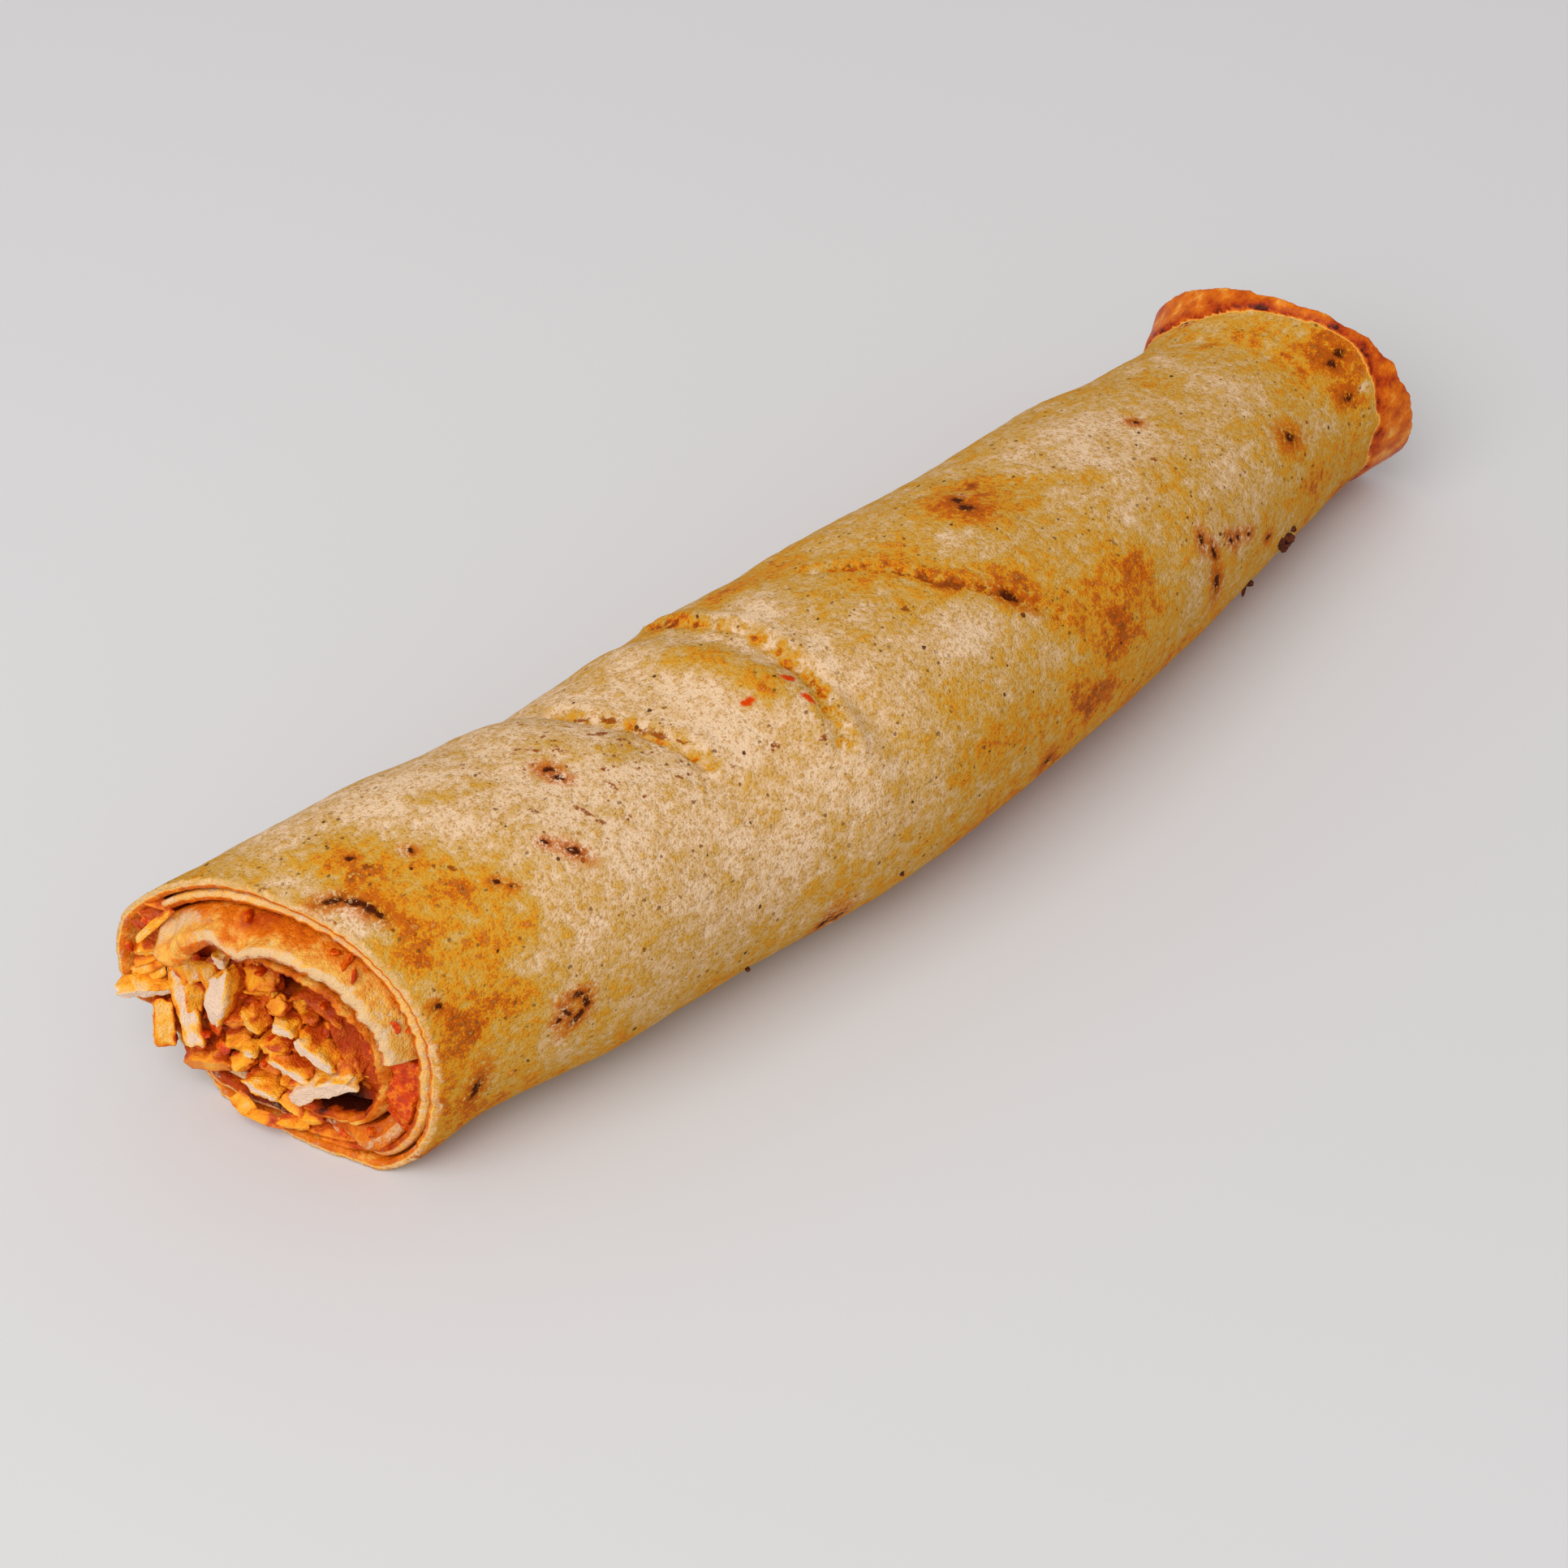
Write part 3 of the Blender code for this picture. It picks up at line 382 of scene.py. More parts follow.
# ---------------------------------------------------------------- view and light
VIEW_AZIMUTH = -44.34
VIEW_ELEVATION = 43.0
VIEW_TARGET = (-28.14, -10.79, 23.1)
VIEW_DISTANCE = 544.8
VIEW_ANGLE = 28.0
NEAREST_VIEW = 0.01
SKY_COLOUR = (1.0, 0.985, 0.98, 1.0)
# Soft lights: name, place in metres, share of the key's power.
LIGHTS = [("key_light", (-1.1, -0.2, 1.5), 1.0), ("fill_light", (-1.8, -0.6, 1.0), 0.4)]


# ================================================================ maths of the form
def ease(share):
    """A share kept between 0 and 1 and eased at both ends."""
    share = np.clip(share, 0.0, 1.0)
    return share * share * (3.0 - 2.0 * share)


def fall_off(distance, reach):
    """1 at no distance, about a third at REACH, and hardly anything beyond."""
    return np.exp(-(distance / reach) ** 2)


def along(table, place):
    """Values at PLACE of a smooth curve through the table's (place, value) points."""
    x, y = np.array(table, float).T
    place = np.clip(place, x[0], x[-1])
    k = np.clip(np.searchsorted(x, place, side="right") - 1, 0, len(x) - 2)
    before = np.maximum(k - 1, 0)
    after = np.minimum(k + 2, len(x) - 1)
    slope0 = (y[k + 1] - y[before]) / (x[k + 1] - x[before])
    slope1 = (y[after] - y[k]) / (x[after] - x[k])
    span = x[k + 1] - x[k]
    t = (place - x[k]) / span
    return ((2 * t**3 - 3 * t**2 + 1) * y[k] + (t**3 - 2 * t**2 + t) * span * slope0
            + (3 * t**2 - 2 * t**3) * y[k + 1] + (t**3 - t**2) * span * slope1)


def around(table, angle):
    """Values at ANGLE of a closed curve that eases between the (angle, value) points."""
    x, y = np.array(table + [(table[0][0] + 360.0, table[0][1])], float).T
    angle = (angle - x[0]) % 360.0 + x[0]
    k = np.clip(np.searchsorted(x, angle, side="right") - 1, 0, len(x) - 2)
    return y[k] + (y[k + 1] - y[k]) * ease((angle - x[k]) / (x[k + 1] - x[k]))


def turned_from(angle, towards):
    """Signed turn in degrees from TOWARDS to ANGLE, the short way round."""
    return (angle - towards + 180.0) % 360.0 - 180.0


def signed_power(value, power):
    """VALUE's size raised to a power, with its sign kept."""
    return np.sign(value) * np.abs(value) ** power


def swell(station, angle):
    """Height of the bulges and pinches at a place on the roll."""
    total = 0.0
    for at, towards, reach, spread, height in SWELLS:
        turned = turned_from(angle, towards)
        total = total + height * np.exp(-((station - at) / reach) ** 2 - (turned / spread) ** 2)
    return total


def roll_point(angle, station, inset):
    """Points INSET millimetres under the roll's outer face. Stations may pass 0 and 1."""
    inside = np.clip(station, 0.0, 1.0)
    depth = inset - swell(inside, angle)
    half_width = along(HALF_WIDTHS, inside)
    half_height = half_width * along(FLATNESS, inside)
    turn = np.radians(angle)
    p = (half_width - depth) * signed_power(np.cos(turn), 2.0 / SQUARENESS)
    q = (half_height - depth) * signed_power(np.sin(turn), 2.0 / SQUARENESS)
    z = np.maximum(half_height * (1.0 - 2.0 * SINK) + q, inset)
    rise = z - half_height * (1.0 - SINK)
    start = -LENGTH / 2 + CUT_SLANT[0] * p + CUT_SLANT[1] * rise
    end = LENGTH / 2 + FLARE_SLANT[0] * p + FLARE_SLANT[1] * rise
    x = start + (end - start) * station
    return np.stack([x, -along(BOW, inside) - p, z], -1) + SHIFT


def turn_weights(turned):
    """How much of each turn there is at TURNED degrees from the roll's start."""
    depth = TURNS - 1.0
    for k in range(TURNS - 1):
        depth = depth - ease((turned - STEP_FROM - 360.0 * k) / (STEP_TO - STEP_FROM))
    return [np.maximum(0.0, 1.0 - np.abs(depth - k)) for k in range(TURNS)]


def mixed(weights, values):
    """Values of the turns, mixed by their weights."""
    return sum(weight * value for weight, value in zip(weights, values))


def speckle(points, size, seed):
    """Smooth noise from -1 to 1 at each point, with features of SIZE millimetres."""
    offset = Vector((seed * 17.3, seed * 5.1, seed * 9.7))
    return np.array([noise.noise(Vector(point) / size + offset) for point in points])


def flat_place(station, angle):
    """Place on the unrolled crust, in millimetres."""
    return station * LENGTH, np.radians(angle) * MAP_RADIUS


def patch_cover(patches, station, angle, warp):
    """How strongly a list of soft patches covers each place; WARP shifts their borders."""
    u, v = flat_place(station, angle)
    total = np.zeros_like(u)
    for at, towards, half_length, half_width, strength in patches:
        pu, pv = flat_place(at, towards)
        square = ((u - pu + warp[0]) / half_length) ** 2 + ((v - pv + warp[1]) / half_width) ** 2
        total = np.maximum(total, strength * np.exp(-square * 0.9))
    return total


def crease_distance(points, u, v):
    """How far each place lies from a fold's line, and on which side of it."""
    path = [flat_place(*point) for point in points]
    nearest = np.full(u.shape, 1e9)
    side = np.zeros_like(u)
    for (u0, v0), (u1, v1) in zip(path, path[1:]):
        du, dv = u1 - u0, v1 - v0
        share = np.clip(((u - u0) * du + (v - v0) * dv) / (du * du + dv * dv), 0.0, 1.0)
        away_u, away_v = u - u0 - share * du, v - v0 - share * dv
        distance = np.hypot(away_u, away_v)
        closer = distance < nearest
        nearest = np.where(closer, distance, nearest)
        side = np.where(closer, np.sign(away_u), side)
    return nearest, side


def crease_relief(station, angle):
    """Grooves of the folds, each with a raised lip on its far side."""
    total = np.zeros_like(station)
    for points, depth, width, lip in CREASES:
        nearest, side = crease_distance(points, *flat_place(station, angle))
        ridge = fall_off(nearest - 2.2 * width, 1.3 * width) * (side > 0)
        total += lip * ridge - depth * fall_off(nearest, width)
    return total


def painted_fold_shade(station, angle):
    """Painted shade along the folds, stronger where a crease is deeper."""
    total = np.zeros_like(station)
    for points, depth, width, _ in CREASES:
        nearest, side = crease_distance(points, *flat_place(station, angle))
        total = np.maximum(total, depth * fall_off(nearest - 0.3 * side, 1.3 * width))
    return total


def blister_relief(station, angle):
    """Domes of the blisters, each with a sunk middle."""
    u, v = flat_place(station, angle)
    total = np.zeros_like(u)
    for at, towards, radius, height, pit in BLISTERS:
        pu, pv = flat_place(at, towards)
        share = np.hypot(u - pu, v - pv) / radius
        dome = height * np.exp(-(share ** 2) * 1.6)
        total += dome - (height * 0.4 + pit) * np.exp(-(share * 3.2) ** 2)
    return total


# ================================================================ meshes
def clear_selection():
    """Leaves edit mode and deselects everything, the loaded solids included."""
    if bpy.context.object and bpy.context.object.mode != "OBJECT":
        bpy.ops.object.mode_set(mode="OBJECT")
    bpy.ops.object.select_all(action="DESELECT")


def read_points(item):
    """The places of a mesh's vertices, one in each row."""
    points = np.zeros(len(item.data.vertices) * 3)
    item.data.vertices.foreach_get("co", points)
    return points.reshape(-1, 3)


def write_points(item, points):
    """Moves a mesh's vertices to the places in the rows of POINTS."""
    item.data.vertices.foreach_set("co", np.ascontiguousarray(points, float).ravel())
    item.data.update()


def read_normals(item):
    """The directions that a mesh's vertices face, one in each row."""
    normals = np.zeros(len(item.data.vertices) * 3)
    item.data.vertices.foreach_get("normal", normals)
    return normals.reshape(-1, 3)


def add_cover(item, name, values):
    """Stores one number for each vertex, which the material reads by its name."""
    layer = item.data.attributes.new(name, "FLOAT", "POINT")
    layer.data.foreach_set("value", np.ascontiguousarray(values, np.float32))


def add_surface_map(item, u, v):
    """Gives each face corner its vertex's place on the unrolled surface."""
    layer = item.data.uv_layers.new(name="surface")
    corners = np.zeros(len(item.data.loops), int)
    item.data.loops.foreach_get("vertex_index", corners)
    layer.data.foreach_set("uv", np.stack([u[corners], v[corners]], -1).ravel())


def add_primitive(name, operator, **settings):
    """A new primitive, named after its piece."""
    clear_selection()
    operator(**settings)
    item = bpy.context.object
    item.name = item.data.name = name
    return item


def edit_all(item, operator, **settings):
    """Runs an edit-mode operator on the whole of one piece."""
    clear_selection()
    bpy.context.view_layer.objects.active = item
    item.select_set(True)
    bpy.ops.object.mode_set(mode="EDIT")
    bpy.ops.mesh.select_all(action="SELECT")
    operator(**settings)
    bpy.ops.object.mode_set(mode="OBJECT")


def unit_slab(name, columns, rows):
    """A flat sheet one unit wide and long: a grid, extruded downwards into a closed slab."""
    item = add_primitive(name, bpy.ops.mesh.primitive_grid_add,
                         x_subdivisions=columns, y_subdivisions=rows, size=1.0)
    edit_all(item, bpy.ops.mesh.extrude_region_move,
             TRANSFORM_OT_translate={"value": (0.0, 0.0, -1.0)})
    return item


def finish_shape(item):
    """Turns the faces outwards and shades them smooth."""
    edit_all(item, bpy.ops.mesh.normals_make_consistent, inside=False)
    bpy.ops.object.shade_smooth_by_angle(angle=SMOOTH_ANGLE)
    return item


def settle(item, node, material):
    """Gives a piece its material and ties it to the frame."""
    if not item.data.polygons:
        raise RuntimeError(f"{item.name} came out empty")
    item.data.materials.clear()
    item.data.materials.append(material)
    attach(item, "root")
    if node:
        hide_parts(node)


def end_rows(near, middle, far, zone, power):
    """Stations of a sheet's rows: NEAR and FAR rows crowd into a ZONE at the ends by a POWER."""
    first = zone * (np.arange(near) / near) ** power
    between = np.linspace(zone, 1.0 - zone, middle)
    last = 1.0 - zone * (np.arange(far)[::-1] / far) ** power
    return np.concatenate([first, between, last])


def rim_roundness(station, thick, share):
    """How far a rim's corners are eased off at each end."""
    from_end = np.minimum(station, 1.0 - station) * LENGTH
    radius = np.maximum(share * thick, 1e-6)
    left = np.clip(radius - from_end, 0.0, radius)
    return radius - np.sqrt(np.maximum(radius ** 2 - left ** 2, 0.0))


def ragged_place(station, turned, weights):
    """Where a sheet's rows lie along the roll, each turn with its own uneven rim at both ends."""
    wander = np.stack([turned / 4.0, weights[0] * 3.0, 0.0 * turned], -1)
    edge = speckle(wander, 1.0, 1) + 0.6 * speckle(wander, 0.37, 2)
    lip_edge = speckle(wander, 2.4, 3) + 0.4 * speckle(wander, 0.6, 4)
    lead = mixed(weights, [around(table, turned) for table in LEADS]) + mixed(weights, RAGGED) * edge
    setback = mixed(weights, SETBACKS) + LIP_RAGGED * lip_edge + LIP_SETBACK
    return station * (1.0 - setback / LENGTH) - (1.0 - station) * lead / LENGTH


class Sheet:
    """Where the vertices of one stretch of the rolled dough lie, and in which turn."""

    def __init__(self, grid, turned_range, rows):
        first, last = turned_range
        self.station = rows[np.rint((grid[:, 1] + 0.5) * (len(rows) - 1)).astype(int)]
        self.from_cut = self.station * LENGTH
        self.inner_face = -grid[:, 2]
        self.turned = first + (last - first) * (grid[:, 0] + 0.5)
        self.angle = self.turned - 360.0 * (TURNS - 1)
        self.weights = turn_weights(self.turned)
        self.outer_turn = self.weights[0] * (1.0 - self.inner_face)
        self.puffs = [self.weights[2] * np.exp(-(turned_from(self.turned, towards) / spread) ** 2
                                               - (self.station / reach) ** 2)
                      for towards, spread, reach, _, _ in PUFFS]
        self.inset = mixed(self.weights, [around(table, self.turned) for table in INSETS])
        self.place = ragged_place(self.station, self.turned, self.weights)
        self.base = roll_point(self.turned, self.place, self.inset)
        self.past_lip_line = (self.place - around(LIP_LINE, self.angle)) * LENGTH


def crust_relief(sheet, relief):
    """Height of the bumps, folds, blisters and oily lip over the plain sheet."""
    bumps = sum(height * speckle(sheet.base, size, seed) for size, height, seed in BUMPS)
    raised = bumps * (HIDDEN_BUMPS + (1.0 - HIDDEN_BUMPS) * sheet.outer_turn) * relief
    raised += sheet.outer_turn * relief * (crease_relief(sheet.place, sheet.angle)
                                           + blister_relief(sheet.place, sheet.angle))
    raised += LIP_RISE * sheet.outer_turn * ease(sheet.past_lip_line / 1.6)
    raised -= LIP_GROOVE * sheet.outer_turn * fall_off(sheet.past_lip_line, 1.3)
    return raised * np.clip(sheet.base[:, 2] / FLOOR_FADE, 0.0, 1.0)


def make_sheet(name, turned_range, columns, rows, relief):
    """One stretch of the rolled dough as a closed slab, with its covers and surface map."""
    item = unit_slab(name, columns, len(rows) - 1)
    sheet = Sheet(read_points(item), turned_range, rows)
    thick = mixed(sheet.weights, THICKNESS)
    body = thick + sum(puff * height for puff, (_, _, _, height, _) in zip(sheet.puffs, PUFFS))
    pushed = sum(puff * height * share
                 for puff, (_, _, _, height, share) in zip(sheet.puffs, PUFFS))
    curl = around(FOLD_CURL, sheet.turned) * sheet.weights[2] * ease(1.0 - sheet.station / CURL_REACH)
    roundness = mixed(sheet.weights, ROUNDNESS) + PUFF_ROUNDNESS * sum(sheet.puffs)
    rounded = rim_roundness(sheet.station, thick, roundness) * body / thick
    outer = sheet.inset + curl - pushed + rounded
    depth = outer + sheet.inner_face * (body - 2.0 * rounded) - crust_relief(sheet, relief)
    write_points(item, roll_point(sheet.turned, sheet.place, depth) * MM)
    finish_shape(item)

    u, v = flat_place(sheet.place, sheet.angle)
    add_surface_map(item, u / MAP_SCALE, v / MAP_SCALE)
    paint_sheet(item, sheet)
    return item


def paint_sheet(item, sheet):
    """Covers of toast, flecks, painted shade along the folds, sauce with painted shade in the gaps, and
    torn crumb, which the bread's material reads.
    """
    warp = (2.2 * speckle(sheet.base, 6.0, 11) + 1.0 * speckle(sheet.base, 2.2, 12),
            2.2 * speckle(sheet.base, 6.0, 13) + 1.0 * speckle(sheet.base, 2.2, 14))
    flecks = PLAIN_FLECKS + patch_cover(FLECKED, sheet.place, sheet.angle, warp)
    add_cover(item, "flecked", sheet.outer_turn * flecks)
    add_cover(item, "toast", toast_cover(sheet, warp))
    # painted shade along the folds
    add_cover(item, "crease_shade", sheet.outer_turn * painted_fold_shade(sheet.place, sheet.angle))
    add_cover(item, "crust", sheet.outer_turn)
    # sauce and oil, with painted shade in the gaps between turns, along the curled crease and in the cavity
    # under the filling
    add_cover(item, "soak_and_shade", soak_and_shade_cover(sheet, warp))
    add_cover(item, "crumb", crumb_cover(sheet))


def toast_cover(sheet, warp):
    """How toasted the bread is: plain toast, then the patches from the palest to the darkest."""
    toast = along(TOAST_ALONG, sheet.place) + along(TOAST_ROUND, np.clip(sheet.angle, -90.0, 270.0))
    toast += 0.06 * speckle(sheet.base, 16.0, 15)
    for patches, level in TOAST_LEVELS:
        toast += (level - toast) * patch_cover(patches, sheet.place, sheet.angle, warp)
    weak_warp = (warp[0] * 0.4, warp[1] * 0.4)
    toast += (BLOOM_LEVEL - toast) * patch_cover(BLOOM, sheet.place, sheet.angle, weak_warp)
    return sheet.outer_turn * toast + (1.0 - sheet.outer_turn) * INNER_TOAST


def soak_and_shade_cover(sheet, warp):
    """How wet the bread is with sauce inside the roll and with oil on the flared lip, plus painted shade in
    the gaps between turns, under the second turn's rim, along the third turn's curled crease and in the
    cavity under the filling.
    """
    weights, from_cut, inner_face = sheet.weights, sheet.from_cut, sheet.inner_face
    outside = 1.0 - inner_face
    top_face = ease((from_cut - 2.0) / 4.0)
    levels = [plain + inner * inner_face for plain, inner in zip(SOAK_AND_SHADE_OUTSIDE, SOAK_INSIDE)]
    levels[0] = levels[0] + 0.10 * fall_off(from_cut, 0.8)
    # painted shade: the third turn's outer face darkens from a few millimetres in, under the second turn's
    # rim
    levels[2] = levels[2] + 0.26 * outside * top_face
    soak_and_shade = mixed(weights, levels)

    painted_fold_line, plain, low, painted_cave_shade = [fall_off(turned_from(sheet.turned, towards), spread)
                                for towards, spread in SOAK_AND_SHADE_STRETCHES]
    patchy = 0.14 + 0.18 * weights[3]
    # painted shade line along the third turn's curled crease; the plain stretch beside it is drier
    soak_and_shade += 0.18 * painted_fold_line * weights[2] - 0.12 * plain * weights[2] * outside
    soak_and_shade += 0.30 * low * (weights[1] + weights[2]) + patchy * speckle(sheet.base, 3.4, 16)
    soak_and_shade -= 0.38 * sum(sheet.puffs) * (outside * top_face + inner_face) * fall_off(from_cut, 9.0)
    # painted shade in the cavity under the filling, on the innermost turn's inner face
    soak_and_shade += 0.7 * painted_cave_shade * weights[3] * inner_face * ease((from_cut - 1.0) / 2.5)

    past_line = sheet.past_lip_line + 0.4 * warp[0]
    oil = 0.66 + 0.34 * speckle(sheet.base, 3.6, 17) + 0.30 * fall_off(past_line, 1.6)
    lip = ease((past_line + 0.3) / 0.6) * oil * (sheet.place > LIP_FROM)
    soak_and_shade = np.where(sheet.outer_turn > 0.5, lip + soak_and_shade * (from_cut < 3.0), soak_and_shade)
    return np.clip(soak_and_shade, 0.0, 1.4)


def crumb_cover(sheet):
    """Where the white inside shows: at the torn rims, and in a milky patch on the first puff."""
    torn_turn = 0.25 + 0.75 * sheet.weights[2]
    wide = 0.9 * (1.0 + 0.7 * torn_turn * speckle(sheet.base, 3.6, 20))
    rim = fall_off(sheet.from_cut, wide) * (0.85 + 0.7 * torn_turn * speckle(sheet.base, 2.0, 19))
    rim *= 1.0 - 0.45 * sheet.inner_face
    torn = mixed(sheet.weights, TORN) * (1.0 - 0.9 * sheet.puffs[0] - 0.65 * sheet.puffs[1])
    milky = sheet.puffs[0] * (1.0 - sheet.inner_face) * fall_off(sheet.from_cut - 4.6, 2.6)
    milky *= 1.6 + 0.6 * speckle(sheet.base, 4.0, 18)
    return np.clip(rim * torn + milky, 0.0, 1.0)


def core_inset(angle):
    """Depth of the filling's wall under the roll's outer face."""
    return around(INSETS[-1], angle) + THICKNESS[-1] + CLEARANCE


def end_frame(end):
    """Half height, end of the roll and slant of the cut (0) or flared (1) end."""
    half_height = float(along(HALF_WIDTHS, end) * along(FLATNESS, end))
    return half_height, (-1.0 if end == 0 else 1.0), (CUT_SLANT if end == 0 else FLARE_SLANT)


def end_point(end, p, q, out):
    """Point OUT millimetres in front of the slanted plane of an end."""
    half_height, side, slant = end_frame(end)
    rise = q - half_height * SINK
    middle = half_height * (1.0 - 2.0 * SINK)
    x = side * (LENGTH / 2 + out) + slant[0] * p + slant[1] * rise
    return Vector((x + SHIFT[0], -p + SHIFT[1], middle + q))


def out_direction(end):
    """The way that an end's slanted plane faces."""
    _, side, slant = end_frame(end)
    return Vector((side, side * slant[0], -side * slant[1])).normalized()


def make_core(columns, cap_rings, stations):
    """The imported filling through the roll: a tube closed by a lumpy cap at each end."""
    rows = len(stations) + 2 * cap_rings
    item = add_primitive("meat_core", bpy.ops.mesh.primitive_grid_add,
                         x_subdivisions=columns, y_subdivisions=rows - 1, size=1.0)
    grid = read_points(item)
    angle = INNER_EDGE + 360.0 * (grid[:, 0] + 0.5)
    row = np.rint((grid[:, 1] + 0.5) * (rows - 1)).astype(int)
    reach = np.clip(np.minimum(row, rows - 1 - row) / cap_rings, 0.0, 1.0)
    station = stations[np.clip(row - cap_rings, 0, len(stations) - 1)]
    near_recess, far_recess = CORE_RECESS
    place = station * (1.0 - far_recess / LENGTH) + (1.0 - station) * near_recess / LENGTH
    wall = roll_point(angle, place, core_inset(angle))
    far = (station > 0.5).astype(int)
    middle = np.array([end_point(0, 0, 0, -near_recess), end_point(1, 0, 0, -far_recess)])[far]
    points = middle + (wall - middle) * reach[:, None]

    cap = 1.0 - ease((reach - 0.75) / 0.25)
    lumps = 1.5 * speckle(points, 3.6, 21) + 0.8 * speckle(points, 1.6, 22)
    p = -(points[:, 1] - SHIFT[1])
    q = points[:, 2] - end_frame(0)[0] * (1.0 - 2.0 * SINK)
    hollow_and_shade = (far == 0) * sum(deep * np.exp(-((p - at_p) / half_p) ** 2 - ((q - at_q) / half_q) ** 2)
                              for at_p, at_q, half_p, half_q, deep in CAVITIES)
    out = np.array([out_direction(0), out_direction(1)])[far]
    points = points + out * ((lumps - hollow_and_shade) * cap)[:, None]
    write_points(item, points * MM)
    # the cavities' depth is also stored as painted shade, near-black where they are deepest
    add_cover(item, "hollow_and_shade", np.clip(hollow_and_shade / FULL_SHADE_DEPTH, 0.0, 1.0))
    edit_all(item, bpy.ops.mesh.remove_doubles, threshold=MERGE_DISTANCE)
    return finish_shape(item)


def rounded_block(name, cuts, size, radius):
    """A block of SIZE millimetres with rounded edges, and how far each vertex is from an edge."""
    item = add_primitive(name, bpy.ops.mesh.primitive_cube_add, size=1.0)
    edit_all(item, bpy.ops.mesh.subdivide, number_cuts=cuts)
    unit = read_points(item)
    to_faces = np.sort((0.5 - np.abs(unit)) * size, axis=1)
    points = unit * size
    inner = np.clip(points, radius - size / 2, size / 2 - radius)
    away = points - inner
    reach = np.maximum(np.linalg.norm(away, axis=1, keepdims=True), radius)
    write_points(item, inner + away * radius / reach)
    return item, to_faces[:, 1]


def bend_strip(local, length, pointed, bend, taper, seed):
    """A block's points drawn out, bent and torn at the ends like a strip of meat."""
    t = local[:, 0] / length
    wavy = speckle(local * np.array([0.7, 0.3, 0.3]) + seed, 2.4, 31)
    ragged = speckle(local * np.array([0.3, 1.0, 1.0]) + seed, 1.6, 32)
    drawn_in = pointed * np.abs(2.0 * t) ** 2.6
    slim = (1.0 - taper * (t + 0.5)) * (1.0 - drawn_in) + 0.16 * wavy
    x = local[:, 0] + min(0.14 * length, 1.1) * ragged * ease((np.abs(t) - 0.2) / 0.3)
    y = local[:, 1] * (1.0 - 0.5 * drawn_in + 0.14 * wavy)
    z = local[:, 2] * slim + bend * (1.0 - 4.0 * t * t)
    return np.stack([x, y, z], -1)


def make_slice(end, piece, chance):
    """One piece of meat: bent, lumpy and torn, with a pale cut face and golden margins."""
    first, last, width, thick, (look_p, look_q, look_out), pale, pointed = piece
    start, stop = end_point(end, *first), end_point(end, *last)
    length = (stop - start).length
    size = np.array([length, width, thick])
    item, margin = rounded_block("slice", SLICE_CUTS, size, SLICE_EDGE * size.min())
    bend = chance.uniform(-SLICE_BEND, SLICE_BEND) * length
    taper = chance.uniform(*SLICE_TAPER)
    seed = chance.uniform(0.0, 50.0)
    local = bend_strip(read_points(item), length, pointed, bend, taper, seed)
    write_points(item, local)

    forward = (stop - start).normalized()
    looks = Vector((look_out * end_frame(end)[1], -look_p, look_q))
    side = looks.cross(forward).normalized()
    turn = np.array(Matrix((forward, side, forward.cross(side))))
    outward = np.array(out_direction(end))
    normals = read_normals(item)
    placed = normals @ turn
    facing = placed @ outward - 0.5 * np.clip(placed[:, 2], 0.0, 1.0)
    uneven = speckle(local + seed, 2.2, 34)
    cut = ease((facing + 0.15 * uneven - 0.34) / 0.25) * ease((margin + 0.3 * uneven - 0.05) / 0.9)

    lumps = 0.30 * speckle(local + seed, 2.2, 33) + 0.30 * speckle(local + seed, 1.0, 35)
    lumps += 0.22 * speckle(local * np.array([1.0, 0.3, 1.0]) + seed, 0.6, 36)
    lumps *= min(thick / 2.4, 1.0) * (1.0 - 0.65 * cut)
    local += normals * lumps[:, None]
    sunk = 0.45 * (width * abs(turn[1] @ outward) + thick * abs(turn[2] @ outward))
    points = local @ turn + np.array((start + stop) / 2) - outward * sunk
    write_points(item, points * MM)
    finish_shape(item)

    ahead = points @ outward
    behind = ahead.max() - ahead
    stain = ease((speckle(points + seed, 3.0, 37) + 0.02) / 0.3) * (1.0 - cut)
    tone = 0.57 + 0.35 * pale - 0.14 * behind + 0.2 * uneven - 0.32 * stain
    tone += cut * (max(0.10 + 0.5 * pale, 0.0) + 0.09 * behind)
    add_cover(item, "tone", np.maximum(tone, DARKEST_TONE))
    return item


def make_chunk(name, centre, size, squash, chance):
    """A small torn lump, as a rough ball pressed and turned its own way."""
    item = add_primitive(name, bpy.ops.mesh.primitive_ico_sphere_add,
                         subdivisions=CHUNK_DETAIL, radius=1.0)
    ball = read_points(item)
    seed = chance.uniform(0.0, 80.0)
    rough = 1.0 + 0.5 * speckle(ball + seed, 0.9, 41) + 0.2 * speckle(ball + seed, 0.4, 42)
    spin = chance.uniform(0, math.tau)
    axis = Vector((chance.uniform(-1, 1), chance.uniform(-1, 1), 1.0))
    turn = np.array(Matrix.Rotation(spin, 3, axis))
    local = ball * rough[:, None] * size * np.array(squash)
    write_points(item, (local @ turn.T + np.array(centre)) * MM)
    return item


def join_all(name, items):
    """Joins like pieces into one object."""
    clear_selection()
    for item in items:
        item.select_set(True)
    bpy.context.view_layer.objects.active = items[0]
    bpy.ops.object.join()
    item = bpy.context.object
    item.name = item.data.name = name
    return item


def in_cavity(p, q):
    """How far a place on the cut end lies in one of the filling's hollows."""
    return sum(math.exp(-((p - at_p) / half_p) ** 2 - ((q - at_q) / half_q) ** 2)
               for at_p, at_q, half_p, half_q, _ in CAVITIES)


